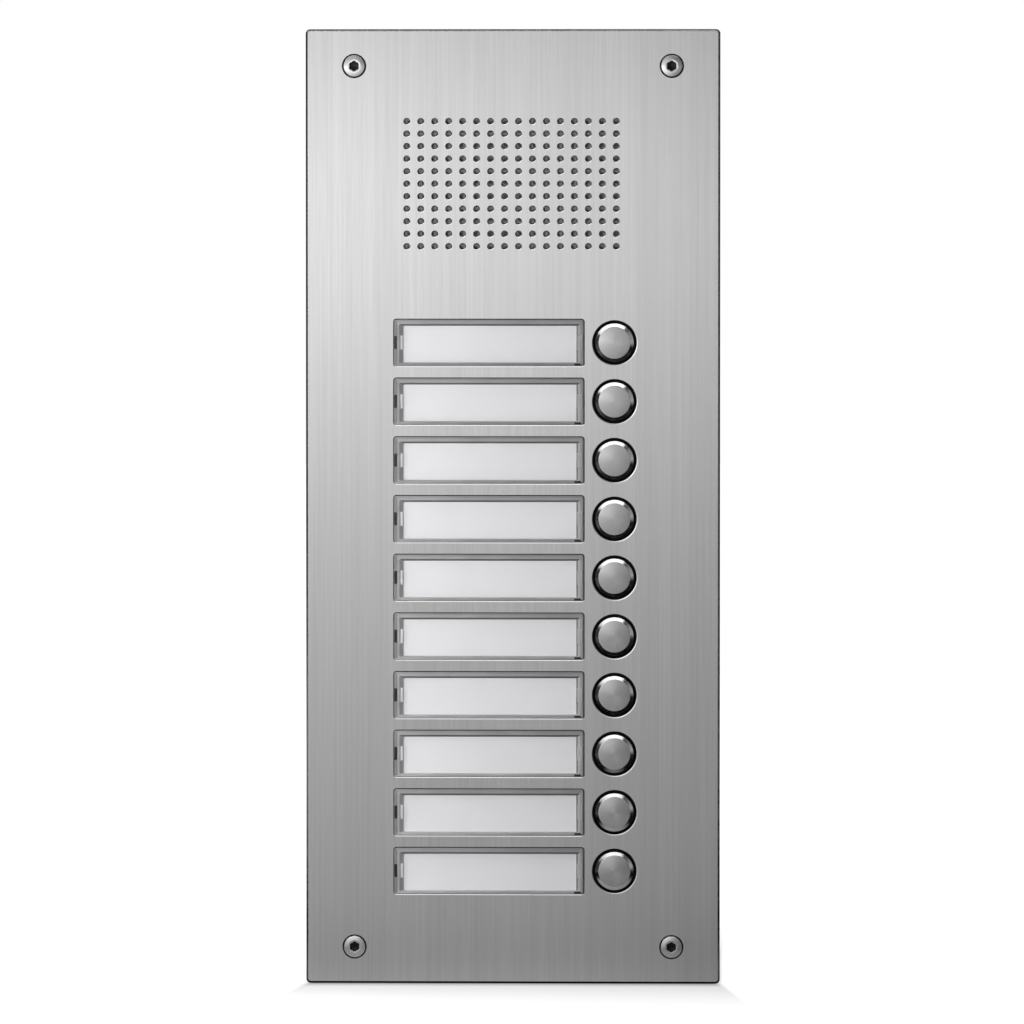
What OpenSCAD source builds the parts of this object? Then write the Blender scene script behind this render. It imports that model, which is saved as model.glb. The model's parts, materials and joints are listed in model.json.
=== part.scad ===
// Door intercom panel: a brushed steel faceplate with a speech grille, ten
// call buttons and ten lit name windows, screwed to a flush back box.
// Millimetres. X is to the right, Z is up, and the panel faces -Y. The origin
// is at the panel's centre, on the surface of the wall.

/* [Faceplate] */
// Width of the faceplate
plate_w = 141; // [136:1:160]
// Height of the faceplate
plate_h = 325; // [320:1:360]
// Thickness of the steel sheet
plate_t = 2; // [1.8:0.1:3]
// Radius of the corners, seen from the front
plate_corner_r = 1.5; // [1:0.1:5]
// Rounding along the front edge
plate_edge_r = 0.8; // [0.3:0.1:1]
// Distance from the fixing screws to the faceplate's side edges
screw_inset_x = 16.5; // [16:0.1:17.5]
// Distance from the fixing screws to the faceplate's upper and lower edges
screw_inset_z = 12.5; // [11:0.1:14]

/* [Fixing screws] */
// Shank diameter of the fixing screws
screw_d = 4; // [3:0.5:4.5]
// Head diameter of the fixing screws
screw_head_d = 7.6; // [7:0.1:8]
// Height of the head's domed top
screw_dome_h = 0.9; // [0.4:0.1:1.2]
// Overall length behind the head's rim
screw_length = 16; // [12:1:20]
// Mouth of the countersink in the faceplate
countersink_d = 8.3; // [8.1:0.1:9]
// Clearance around the shank in the faceplate
screw_clear = 0.25; // [0.1:0.05:0.4]
// Chamfer at the screw's tip
screw_tip = 0.5; // [0.3:0.1:0.8]
// Across the lobes of the drive recess
recess_d = 3.35; // [2.8:0.05:3.9]
// Depth of the drive recess
recess_depth = 1.5; // [0.8:0.1:2]

/* [Speech grille] */
// Columns of sound holes
grille_cols = 16; // [8:1:16]
// Rows of sound holes
grille_rows = 11; // [5:1:11]
// Diameter of a sound hole
grille_hole_d = 2.2; // [1.5:0.1:3]
// Distance between columns
grille_pitch_x = 4.75; // [4:0.05:4.9]
// Distance between rows
grille_pitch_z = 4.25; // [3.6:0.05:4.4]
// Middle of the grille, across
grille_x = -0.5; // [-3:0.1:3]
// Middle of the grille, up
grille_z = 110; // [107:1:113]
// Thickness of the insect screen behind the holes
screen_t = 0.3; // [0.2:0.05:0.5]
// How far the insect screen reaches past the holes
screen_margin = 1.6; // [1:0.1:3]
// Corner radius of the insect screen
screen_r = 1.5; // [0.5:0.1:2]

/* [Rows] */
// Number of call buttons
rows = 10; // [4:2:10]
// Distance from one row to the next
row_pitch = 20; // [19.5:0.5:21]
// Height of the first row
first_row_z = 56; // [50:1:58]
// Middle of the buttons, across
button_x = 34.6; // [34:0.1:37]
// Middle of the name windows, across
window_x = -8.2; // [-10:0.1:-7.8]

/* [Call buttons] */
// Diameter of the steel cap
button_d = 13.4; // [12.6:0.1:13.6]
// Height of the cap in front of the faceplate
button_rise = 1.7; // [1:0.1:3]
// Width of the bevel around the cap
bevel_w = 1.4; // [0.6:0.1:2]
// Depth of the bevel around the cap
bevel_depth = 1.1; // [0.5:0.1:1.3]
// Height of the cap's shallow dome
dome_h = 0.15; // [0.05:0.05:0.3]
// Travel of the button
button_travel = 1.2; // [0.8:0.1:1.5]
// Play between the cap and its collar
button_gap = 0.1; // [0.05:0.05:0.2]
// Width of the flange that keeps the cap in
button_flange_w = 0.7; // [0.5:0.1:0.9]
// Thickness of that flange
button_flange_t = 1; // [0.8:0.1:1.5]
// Diameter of the stem that works the switch
stem_d = 4; // [3:0.1:4.5]
// Depth of the spring's seat in the cap
spring_seat_depth = 1.85; // [1:0.05:2.5]
// Play around the spring in that seat
spring_gap = 0.6; // [0.3:0.1:0.8]
// Gap between the retaining flange and the collar it rests on
flange_gap = 0.05; // [0.02:0.01:0.1]

/* [Button collars] */
// Wall of the black collar around a cap
collar_wall = 0.7; // [0.5:0.05:0.9]
// How far the collar stays behind the faceplate's face
collar_set_back = 0.2; // [0:0.05:0.5]
// Width of the collar's rear flange
collar_flange_w = 1.5; // [1:0.1:1.6]
// Thickness of the collar's rear flange
collar_flange_t = 0.8; // [0.6:0.1:1.2]
// Play of the collar in its holes
collar_gap = 0.1; // [0.05:0.05:0.15]
// Chamfer at the collar's mouth
collar_mouth = 0.2; // [0.1:0.05:0.4]

/* [Return springs] */
// Outer diameter of the spring
spring_d = 10; // [9:0.1:10.4]
// Wire diameter
spring_wire = 0.7; // [0.5:0.05:0.9]
// Turns of wire
spring_turns = 4.5; // [3.5:0.5:5.5]

/* [Name windows] */
// Width of the opening in the faceplate
window_w = 65; // [64:0.1:67]
// Height of the opening in the faceplate
window_h = 16.2; // [16:0.1:17]
// Corner radius of the opening
window_r = 1; // [0.5:0.1:2]
// Play of the clear cover in the opening
cover_gap = 0.1; // [0.05:0.05:0.2]
// How far the cover stays behind the faceplate's face
cover_set_back = 0.2; // [0:0.05:0.4]
// Flat rim around the cover
cover_rim = 0.5; // [0.3:0.1:0.6]
// Width of the clear pane
pane_w = 58.7; // [57:0.1:59]
// Height of the clear pane
pane_h = 12.6; // [12:0.1:12.8]
// Depth from the cover's rim to the pane
pane_depth = 0.8; // [0.4:0.1:1]
// How far the pane lies right of the opening's middle
pane_shift_x = 0.1; // [-0.2:0.1:0.2]
// How far the pane lies above the opening's middle
pane_shift_z = -0.5; // [-0.5:0.1:0]
// Depth of the notch for a lifting tool, in the cover's left edge
notch_w = 1.3; // [0.8:0.1:1.4]
// Height of the notch
notch_h = 4.4; // [3:0.1:5]
// Width of the ridge that the lifting tool bears on
ridge_w = 0.7; // [0.4:0.1:0.9]
// Height of the ridge
ridge_h = 4.8; // [3:0.1:6]
// Distance from the opening's left edge to the ridge
ridge_inset = 2.3; // [2:0.1:2.4]
// Thickness of the cover's legs
leg_t = 1; // [0.8:0.1:1.1]
// Distance from the cover's edge to its legs
leg_inset = 0.5; // [0.4:0.1:0.6]
// Length of the legs behind the cover
leg_length = 3.4; // [2:0.1:4]
// Height of each of the two left legs
leg_h = 3; // [2:0.1:3.2]
// Height of the single right leg
tongue_h = 5; // [3:0.1:6]
// Distance from the cover's upper and lower edges to its left legs
leg_end_inset = 1; // [0.5:0.1:1.4]
// Play of the legs in the carrier's slots
leg_gap = 0.15; // [0.1:0.05:0.2]
// Depth of the pocket in the carrier behind a notch
notch_pocket = 1.5; // [1:0.1:2]

/* [Name cards] */
// How far the card reaches past the pane on each side
card_lap = 0.35; // [0.2:0.05:0.45]
// Thickness of the card
card_t = 0.25; // [0.15:0.05:0.4]
// Gap between the cover and the card
card_gap = 0.05; // [0.05:0.05:0.15]
// Thickness of the light diffuser
diffuser_t = 1.5; // [1:0.1:1.8]
// Play around the card and the diffuser
tray_gap = 0.2; // [0.1:0.05:0.25]
// Ledge that carries the diffuser
tray_ledge = 1.4; // [1:0.1:2]

/* [Button carrier] */
// Thickness of the carrier's front
carrier_t = 3; // [2.6:0.1:4]
// Depth from the faceplate's back to the circuit board
carrier_depth = 15.5; // [14.5:0.1:18]
// Wall of the carrier's rim
carrier_wall = 1.6; // [1.2:0.1:1.8]
// Corner radius of the carrier
carrier_r = 4; // [2:0.5:6]
// How far the carrier reaches above the first and below the last row
carrier_margin = 13; // [12:0.5:14]
// Wall of the light wells
well_wall = 1.2; // [0.8:0.1:1.5]
// Clearance between the light wells and the circuit board
well_gap = 2; // [1.95:0.05:3]
// Depth of the guide cups, from the faceplate's back to the spring's seat
cup_depth = 7.5; // [7:0.1:8]
// Wall of the guide cups
cup_wall = 1.6; // [1.2:0.1:1.7]
// Floor of the guide cups
cup_floor = 1.2; // [1:0.1:1.4]
// Play between a guide cup and the button's flange
cup_gap = 0.2; // [0.1:0.05:0.3]
// Web that joins the guide cups
cup_web = 1.6; // [1:0.1:3]
// Outer diameter of the screw bosses
boss_d = 6.4; // [5.5:0.1:6.8]

/* [Studs and nuts] */
// Diameter of the weld studs
stud_d = 3; // [2.5:0.5:3]
// Length of the weld studs
stud_length = 8; // [7:0.5:10]
// Diameter of a stud's welding flange
stud_flange_d = 4.5; // [4:0.1:5]
// Thickness of a stud's welding flange
stud_flange_t = 0.6; // [0.4:0.1:0.8]
// Play around a stud in its hole
stud_gap = 0.2; // [0.1:0.05:0.3]
// Distance from the studs to the nearest cup or window
stud_clear = 3; // [3:0.1:3.5]
// Distance from the studs to the carrier's edge
stud_edge = 5.2; // [5.2:0.1:6]
// Width of a nut across its flats
nut_flats = 5.5; // [5:0.1:5.7]
// Height of a nut
nut_h = 2.4; // [1.8:0.1:2.6]
// Play of a nut on its stud
nut_gap = 0.05; // [0.05:0.05:0.1]

/* [Circuit board] */
// Thickness of the circuit board
board_t = 1.6; // [1:0.1:2]
// How far the board stays inside the carrier's edge
board_inset = 1; // [0.8:0.1:1.2]
// Height of a push switch, plunger included
switch_h = 5; // [4.7:0.1:5.2]
// Height of a push switch's plunger
plunger_h = 1.5; // [1.3:0.1:1.8]
// Diameter of a push switch's plunger
plunger_d = 3.4; // [3:0.1:3.5]
// Width of a push switch's housing
switch_w = 6.2; // [6:0.1:7]
// Gap between a pressed stem and the switch
stem_gap = 0.05; // [0.02:0.01:0.1]
// Length of a backlight lamp
led_l = 3.5; // [3:0.1:4]
// Width of a backlight lamp
led_w = 2.8; // [2:0.1:3]
// Height of a backlight lamp
led_h = 1.9; // [1.2:0.1:1.9]
// Distance between the two lamps behind a window
led_span = 30; // [24:1:36]

/* [Board screws] */
// Shank diameter of the board screws
board_screw_d = 2.5; // [2:0.1:2.8]
// Length of the board screws below their heads
board_screw_l = 8; // [6:0.5:10]
// Head diameter of the board screws
board_screw_head_d = 5.4; // [5:0.1:5.8]
// Head height of the board screws
board_screw_head_h = 1.9; // [1.5:0.1:2.2]
// Play around the shank in the boss
board_screw_gap = 0.05; // [0.05:0.05:0.2]
// Play around the shank in the board
board_hole_gap = 0.25; // [0.1:0.05:0.4]
// Width of a slot in the board screws, the terminal screws and the trimmers
slot_w = 0.7; // [0.5:0.1:1]
// Length of the cross slots in the board screws
slot_l = 3; // [2:0.1:4]
// Depth of those slots
slot_depth = 0.8; // [0.5:0.1:1.2]
// Distance from the end screws to the carrier's ends
board_screw_inset = 6; // [5.5:0.1:6.5]

/* [Terminals and trimmers] */
// Number of terminals
poles = 8; // [4:1:10]
// Distance between terminals
pole_pitch = 5.08; // [5:0.01:5.2]
// Depth of the terminal block, up and down
terminal_w = 10; // [9:0.1:12]
// Height of the terminal block
terminal_h = 13; // [11:0.1:13]
// Height of the terminal block's middle above the carrier's lower end
terminal_z = 25; // [20:1:30]
// Diameter of a wire entry
wire_entry_d = 3; // [2.5:0.1:3.4]
// Diameter of a terminal screw
terminal_screw_d = 3.6; // [3:0.1:3.8]
// Length of a terminal screw
terminal_screw_l = 4; // [3:0.1:4.5]
// Play around a terminal screw
terminal_screw_gap = 0.1; // [0.05:0.05:0.3]
// Width of a trimmer's housing
trimmer_w = 7; // [6.6:0.1:8]
// Corner radius of a trimmer's housing
trimmer_r = 0.8; // [0.4:0.1:1.5]
// Height of a trimmer's housing
trimmer_h = 4.5; // [4:0.1:5]
// Diameter of a trimmer's rotor
rotor_d = 5; // [4:0.1:5.4]
// Thickness of a trimmer's rotor
rotor_t = 1.5; // [1.2:0.1:2]
// How far a rotor stands out of its housing
rotor_rise = 0.2; // [0.1:0.1:0.4]
// Play around a rotor
rotor_gap = 0.2; // [0.1:0.05:0.3]
// Distance between the two trimmers
trimmer_span = 60; // [50:1:70]
// Distance from the trimmers to the carrier's upper end
trimmer_inset = 28; // [24:1:32]

/* [Loudspeaker] */
// Outer diameter of the loudspeaker
speaker_d = 50; // [48:0.5:51]
// Middle of the loudspeaker, across
speaker_x = -8; // [-9:0.1:-7.5]
// Width of the basket's rim
speaker_rim_w = 5.5; // [5:0.1:6]
// Thickness of the basket's rim
speaker_rim_t = 1; // [0.8:0.1:1.2]
// Depth of the basket behind its rim
basket_depth = 8.5; // [7.5:0.1:10]
// Sheet thickness of the basket
basket_wall = 0.8; // [0.6:0.1:1]
// Diameter of the hole in the basket's floor
basket_hole_d = 10; // [8:0.5:14]
// Width of the windows in the basket's cone
basket_window_w = 10; // [6:0.5:12]
// Rib left in front of and behind those windows
basket_rib = 1.5; // [1:0.1:2.5]
// Thickness of the paper cone
cone_t = 0.3; // [0.2:0.05:0.5]
// Depth of the cone, from its edge to its neck
cone_depth = 6; // [5:0.1:7]
// Radius of the cone's neck
cone_neck_r = 8; // [6:0.5:9]
// Height of the dust cap over the neck
dust_cap_h = 1.8; // [1:0.1:2.5]
// Height of the roll that the cone hangs in
cone_roll_h = 1.2; // [0.8:0.1:2]
// Diameter of the magnet's plates
magnet_d = 28; // [24:0.5:30]
// Depth of the magnet, plates included
magnet_depth = 7.4; // [6:0.1:9]
// Thickness of the magnet's plates
magnet_plate_t = 1.2; // [1:0.1:2]
// How far the magnet's ring lies inside its plates
magnet_step = 1; // [0.5:0.1:2]
// Width of the sealing ring in front of the rim
seal_w = 4; // [3.6:0.1:4.2]
// Thickness of the sealing ring
seal_t = 1.5; // [1:0.1:2]
// Thickness of the clamp plate's steel
clamp_t = 1.2; // [1:0.1:1.5]
// How far the clamp plate laps the loudspeaker's rim
clamp_lap = 2; // [1.8:0.1:2.2]
// Middle of the clamp plate, across
clamp_x = 1; // [0:0.1:2]
// Distance between the clamp plate's studs, across
clamp_stud_span = 64; // [63:1:66]
// Distance between those studs and the insect screen
clamp_stud_gap = 0.8; // [0.5:0.1:2]
// Distance from those studs to the plate's upper and lower edges
clamp_edge_z = 4; // [3.6:0.1:5]
// Distance from those studs to the plate's side edges
clamp_edge_x = 5; // [4:0.1:6]
// Corner radius of the clamp plate
clamp_r = 3; // [1:0.5:4]

/* [Microphone] */
// Middle of the microphone, across
mic_x = 27; // [26:0.1:27.4]
// Diameter of the microphone capsule
mic_d = 9.7; // [8:0.1:9.8]
// Height of the microphone capsule
mic_h = 6; // [5:0.1:6.5]
// Wall of the rubber boot
boot_wall = 1.2; // [0.8:0.1:1.4]
// Width of the boot's front flange
boot_flange_w = 1.9; // [1.5:0.1:2]
// Thickness of the lip in front of the capsule
boot_lip = 0.6; // [0.4:0.1:1]
// How far that lip laps the capsule
boot_lip_w = 1.2; // [0.8:0.1:2]
// Radius of the wire hole in the boot's floor
boot_hole_r = 2; // [1.5:0.1:3]
// Play of the boot in the clamp plate
boot_gap = 0.1; // [0.05:0.05:0.3]

/* [Back box] */
// Depth of the back box in the wall
box_depth = 42; // [38:1:60]
// Thickness of the box's sheet steel
box_wall = 1.2; // [1:0.1:1.4]
// Corner radius of the box
box_r = 3; // [2:0.5:4]
// How far the box reaches past the fixing screws, across
box_margin_x = 8.5; // [8:0.1:9]
// How far the box reaches past the fixing screws, up and down
box_margin_z = 5.5; // [5.5:0.1:6]
// Distance of the corner ears behind the box's front
ear_set_back = 1; // [0.9:0.1:2]
// Size of the corner ears
ear_size = 15; // [14:0.5:18]
// Distance between the wall screws, across
wall_span_x = 80; // [60:1:90]
// Distance between the wall screws, up and down
wall_span_z = 240; // [200:1:260]
// Diameter of the wall screw holes
wall_hole_d = 5; // [4:0.5:6]
// Diameter of the knock-outs
knockout_d = 20; // [16:1:22]
// Depth of the scored ring around a knock-out
knockout_score = 0.6; // [0.4:0.1:0.7]
// Width of that ring
knockout_groove = 0.8; // [0.5:0.1:1.5]
// Distance between the side knock-outs
knockout_span = 160; // [120:1:200]

/* [Rivet nuts] */
// Body diameter of the rivet nuts
rivet_d = 6; // [5.6:0.1:6.2]
// Length of the rivet nuts behind the ears
rivet_length = 9; // [7:0.5:11]
// Width of a rivet nut's flange and of its set bulge
rivet_flange_w = 1; // [0.6:0.1:1]
// Thickness of a rivet nut's flange
rivet_flange_t = 0.8; // [0.5:0.1:0.8]
// Length of the bulge that sets a rivet nut behind its ear
rivet_bulge = 1.6; // [1:0.1:2.5]
// Play of the screw in the rivet nut, and of the nut in its ear
rivet_gap = 0.1; // [0.05:0.05:0.15]

/* [Gasket and grommet] */
// Thickness of the gasket between the faceplate and the wall
gasket_t = 1.5; // [1:0.1:3]
// How far the gasket stays inside the faceplate's edge
gasket_inset = 2; // [1:0.1:3]
// How far the gasket laps the back box's edge
gasket_lap = 2.2; // [1.6:0.1:2.6]
// Bore of the cable grommet
grommet_bore = 8; // [6:0.5:10]
// Diameter of the grommet's hole in the box
grommet_hole_d = 16; // [14:0.5:18]
// Width of the grommet's two lips
grommet_lip_w = 2; // [1:0.1:2.5]
// Thickness of the grommet's lips
grommet_lip_t = 1.5; // [1:0.1:2]
// Taper at the edge of those lips
grommet_taper = 0.6; // [0.3:0.1:1]

/* [Hidden] */
$fn = 64;
wire_sides = 6;
wire_steps = 12;
dome_steps = 4;
eps = 0.5;
touch = 0.02;

// Depths, from the front to the back
plate_back = -gasket_t;
plate_front = plate_back - plate_t;
carrier_back = plate_back + carrier_t;
board_front = plate_back + carrier_depth;
board_back = board_front + board_t;

// Rows and their studs
last_row_z = first_row_z - (rows - 1) * row_pitch;
carrier_top = first_row_z + carrier_margin;
carrier_bottom = last_row_z - carrier_margin;
carrier_mid_z = (carrier_top + carrier_bottom) / 2;
stud_rows = [0.5, rows / 2 - 0.5, rows - 1.5];

// Buttons, collars and guide cups
collar_bore = button_d + 2 * button_gap;
collar_d = collar_bore + 2 * collar_wall;
button_hole_d = collar_d + 2 * collar_gap;
collar_flange_d = collar_d + 2 * collar_flange_w;
collar_back = plate_back + collar_flange_t;
button_flange_d = button_d + 2 * button_flange_w;
button_front = plate_front - button_rise;
flange_front = collar_back + flange_gap;
flange_back = flange_front + button_flange_t;
spring_front = flange_back - spring_seat_depth;
spring_back = plate_back + cup_depth;
stem_back = board_front - switch_h - button_travel - stem_gap;
cup_bore = button_flange_d + 2 * cup_gap;
cup_d = cup_bore + 2 * cup_wall;
stem_bore = stem_d + 2 * button_gap;
seat_r = spring_d / 2 + spring_gap;

// Carrier outline and the line of its studs
stud_x = max(button_x + cup_d / 2, window_w / 2 - window_x) + stud_clear;
carrier_w = 2 * (stud_x + stud_edge);
carrier_h = carrier_top - carrier_bottom;

// Name windows, cards and trays
cover_w = window_w - 2 * cover_gap;
cover_h = window_h - 2 * cover_gap;
cover_front = plate_front + cover_set_back;
pane_front = cover_front + pane_depth;
card_w = pane_w + 2 * card_lap;
card_h = pane_h + 2 * card_lap;
card_front = plate_back + card_gap;
diffuser_front = card_front + card_t;
tray_back = diffuser_front + diffuser_t;

// Loudspeaker, microphone and clamp plate
screen_w = (grille_cols - 1) * grille_pitch_x + grille_hole_d + 2 * screen_margin;
screen_h = (grille_rows - 1) * grille_pitch_z + grille_hole_d + 2 * screen_margin;
screen_back = plate_back + screen_t;
rim_front = screen_back + seal_t;
clamp_front = rim_front + speaker_rim_t;
clamp_stud_z = screen_h / 2 + stud_flange_d / 2 + clamp_stud_gap;
clamp_w = clamp_stud_span + 2 * clamp_edge_x;
clamp_h = 2 * (clamp_stud_z + clamp_edge_z);
boot_d = mic_d + 2 * boot_wall;
mic_front = screen_back + boot_lip;
mic_back = mic_front + mic_h;
boot_back = mic_back + boot_wall;

// Fixing screws, back box, rivet nuts and grommet
screw_span_x = plate_w - 2 * screw_inset_x;
screw_span_z = plate_h - 2 * screw_inset_z;
box_w = screw_span_x + 2 * box_margin_x;
box_h = screw_span_z + 2 * box_margin_z;
ear_back = ear_set_back + box_wall;
head_rim = plate_front + (countersink_d - screw_head_d) / 2 - touch;

// Colours
steel = [0.74, 0.74, 0.73];
bright_steel = [0.85, 0.85, 0.84];
zinc_steel = [0.62, 0.64, 0.66];
black_plastic = [0.05, 0.05, 0.055];
grey_plastic = [0.30, 0.31, 0.32];
clear_plastic = [0.80, 0.84, 0.88, 0.6];
white_plastic = [0.93, 0.94, 0.95];
card_white = [0.95, 0.95, 0.93];
rubber = [0.08, 0.08, 0.08];
board_green = [0.08, 0.32, 0.16];
brass = [0.78, 0.62, 0.32];

function row_z(i) = first_row_z - i * row_pitch;
function two_digits(i) = i < 9 ? str("0", i + 1) : str(i + 1);
function row_node(name, i) = str(name, "_", two_digits(i));
function row_nodes(name) = [for (i = [0 : rows - 1]) row_node(name, i)];

// ---- Shared shapes ----

// Carries an outline, drawn as (x, z), from one depth to another.
module slab(front, back)
    translate([0, back, 0]) rotate([90, 0, 0]) linear_extrude(back - front) children();

// Turns a profile, drawn as (radius, depth), about an axis that runs front to back.
module turned(x, z)
    translate([x, 0, z]) rotate([-90, 0, 0]) rotate_extrude() children();

// The arc of a shallow dome, from its top on the axis out to its rim, for turned().
function dome(rim_r, height, top) =
    let (dome_r = (pow(rim_r, 2) + pow(height, 2)) / (2 * height), sweep = asin(rim_r / dome_r))
    [for (k = [0 : dome_steps])
        let (a = sweep * k / dome_steps)
        [dome_r * sin(a), top + dome_r * (1 - cos(a))]];

// A round bar or bore that runs front to back.
module bar(x, z, d, front, back)
    translate([x, front, z]) rotate([-90, 0, 0]) cylinder(d = d, h = back - front);

module rounded_rect(w, h, r) {
    square([w - 2 * r, h], center = true);
    square([w, h - 2 * r], center = true);
    for (x = [-1, 1], z = [-1, 1])
        translate([x * (w / 2 - r), z * (h / 2 - r)]) circle(r);
}

module rounded_ring(w, h, r, wall) difference() {
    rounded_rect(w, h, r);
    rounded_rect(w - 2 * wall, h - 2 * wall, max(r - wall, 0.2));
}

// Section of a plate with its two front corners rounded, drawn as (across, depth).
module plate_section(w) {
    translate([-w / 2 + plate_edge_r, plate_front]) square([w - 2 * plate_edge_r, plate_t]);
    translate([-w / 2, plate_front + plate_edge_r]) square([w, plate_t - plate_edge_r]);
    for (x = [-1, 1])
        translate([x * (w / 2 - plate_edge_r), plate_front + plate_edge_r]) circle(plate_edge_r);
}

// A block that tapers from a front rectangle to a back one that is set off by
// shift: the common part of two tapered bars.
module tapered_block(front_size, back_size, shift, front, back) intersection() {
    translate([0, 0, -front_size.y]) linear_extrude(2 * front_size.y)
        taper(front_size.x, back_size.x, shift.x, front, back);
    translate([-front_size.x, 0, 0]) rotate([90, 0, 90]) linear_extrude(2 * front_size.x)
        mirror([1, -1]) taper(front_size.y, back_size.y, shift.y, front, back);
}

// One tapered bar's section, drawn as (across, depth).
module taper(front_w, back_w, shift, front, back) polygon([
    [-front_w / 2, front], [front_w / 2, front],
    [back_w / 2 + shift, back], [-back_w / 2 + shift, back]]);

module at_rows(x) for (i = [0 : rows - 1]) translate([x, 0, row_z(i)]) children();

module at_corners(span_x, span_z)
    for (x = [-1, 1], z = [-1, 1]) translate([x * span_x / 2, 0, z * span_z / 2]) children();

module at_carrier_studs() for (side = [-1, 1], k = stud_rows)
    translate([side * stud_x, 0, first_row_z - k * row_pitch]) children();

module at_clamp_studs() translate([clamp_x, 0, grille_z])
    at_corners(clamp_stud_span, 2 * clamp_stud_z) children();

module at_board_screws() {
    ends = [carrier_top - board_screw_inset, carrier_bottom + board_screw_inset];
    middle = first_row_z - (rows / 2 - 1.5) * row_pitch;
    for (side = [-1, 1], z = concat(ends, [middle])) translate([side * stud_x, 0, z]) children();
}

module at_trimmer(side)
    translate([side * trimmer_span / 2, 0, carrier_top - trimmer_inset]) children();

// ---- Faceplate and what fixes it ----

module faceplate() color(steel) difference() {
    intersection() {
        slab(plate_front, plate_back) rounded_rect(plate_w, plate_h, plate_corner_r);
        translate([0, 0, -plate_h / 2]) linear_extrude(plate_h) plate_section(plate_w);
        translate([-plate_w / 2, 0, 0]) rotate([90, 0, 90]) linear_extrude(plate_w)
            mirror([1, -1]) plate_section(plate_h);
    }
    slab(plate_front - eps, plate_back + eps) {
        for (i = [0 : rows - 1]) {
            translate([window_x, row_z(i)]) rounded_rect(window_w, window_h, window_r);
            translate([button_x, row_z(i)]) circle(d = button_hole_d);
        }
        for (i = [0 : grille_cols - 1], j = [0 : grille_rows - 1])
            translate([
                grille_x + (i - (grille_cols - 1) / 2) * grille_pitch_x,
                grille_z + (j - (grille_rows - 1) / 2) * grille_pitch_z
            ]) circle(d = grille_hole_d, $fn = 24);
    }
    at_corners(screw_span_x, screw_span_z) countersink();
}

// A countersink at 45 degrees with its clearance hole.
module countersink() {
    clearance_d = screw_d + 2 * screw_clear;
    depth = (countersink_d - clearance_d) / 2;
    bar(0, 0, clearance_d, plate_front - eps, plate_back + eps);
    turned(0, 0) polygon([
        [0, plate_front - eps], [countersink_d / 2 + eps, plate_front - eps],
        [clearance_d / 2, plate_front + depth], [0, plate_front + depth]]);
}

module plate_screws() color(bright_steel) at_corners(screw_span_x, screw_span_z) difference() {
    tip = head_rim + screw_length;
    turned(0, 0) polygon(concat(
        dome(screw_head_d / 2, screw_dome_h, head_rim - screw_dome_h), [
        [screw_d / 2, head_rim + (screw_head_d - screw_d) / 2],
        [screw_d / 2, tip - screw_tip], [screw_d / 2 - screw_tip, tip], [0, tip]]));
    slab(head_rim - screw_dome_h - eps, head_rim - screw_dome_h + recess_depth) six_lobes();
}

// The drive recess: a round middle with six round lobes.
module six_lobes() {
    lobe_d = 0.24 * recess_d;
    circle(d = 0.76 * recess_d);
    for (i = [0 : 5]) rotate(i * 60 + 30) translate([(recess_d - lobe_d) / 2, 0]) circle(d = lobe_d);
}

module wall_gasket() color(rubber) slab(plate_back, 0) difference() {
    rounded_rect(plate_w - 2 * gasket_inset, plate_h - 2 * gasket_inset, plate_corner_r);
    rounded_rect(box_w - 2 * gasket_lap, box_h - 2 * gasket_lap, box_r);
}

// ---- Back box ----

module back_box() color(zinc_steel) difference() {
    union() {
        slab(0, box_depth) rounded_ring(box_w, box_h, box_r, box_wall);
        slab(box_depth - box_wall, box_depth) rounded_rect(box_w, box_h, box_r);
        slab(ear_set_back, ear_back) intersection() {
            rounded_rect(box_w - box_wall, box_h - box_wall, box_r);
            for (x = [-1, 1], z = [-1, 1])
                translate([x * (box_w - ear_size) / 2, z * (box_h - ear_size) / 2])
                    rounded_rect(ear_size, ear_size, box_r);
        }
    }
    at_corners(screw_span_x, screw_span_z)
        bar(0, 0, rivet_d + 2 * rivet_gap, ear_set_back - eps, ear_back + eps);
    at_corners(wall_span_x, wall_span_z)
        bar(0, 0, wall_hole_d, box_depth - box_wall - eps, box_depth + eps);
    translate([0, box_depth / 2, -box_h / 2])
        cylinder(d = grommet_hole_d, h = 4 * box_wall, center = true);
    for (x = [-1, 1]) translate([x * wall_span_x / 2, box_depth / 2, 0]) {
        translate([0, 0, box_h / 2]) knockout();
        translate([0, 0, -box_h / 2]) mirror([0, 0, 1]) knockout();
    }
    for (x = [-1, 1], z = [-1, 1])
        translate([x * box_w / 2, box_depth / 2, z * knockout_span / 2]) rotate([0, x * 90, 0]) knockout();
}

// A ring scored into the outside of a wall that faces up.
module knockout() translate([0, 0, -knockout_score]) difference() {
    cylinder(d = knockout_d, h = 2 * knockout_score);
    translate([0, 0, -eps])
        cylinder(d = knockout_d - 2 * knockout_groove, h = 2 * knockout_score + 2 * eps);
}

module rivet_nuts() color(zinc_steel) at_corners(screw_span_x, screw_span_z) turned(0, 0) {
    bore_r = screw_d / 2 + rivet_gap;
    flange_r = rivet_d / 2 + rivet_flange_w;
    end = ear_back + rivet_length;
    polygon([
        [bore_r, ear_set_back - rivet_flange_t], [flange_r, ear_set_back - rivet_flange_t],
        [flange_r, ear_set_back], [rivet_d / 2, ear_set_back], [rivet_d / 2, ear_back],
        [flange_r, ear_back], [flange_r, ear_back + rivet_bulge],
        [rivet_d / 2, ear_back + rivet_bulge + rivet_flange_w],
        [rivet_d / 2, end], [bore_r, end]]);
}

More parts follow.
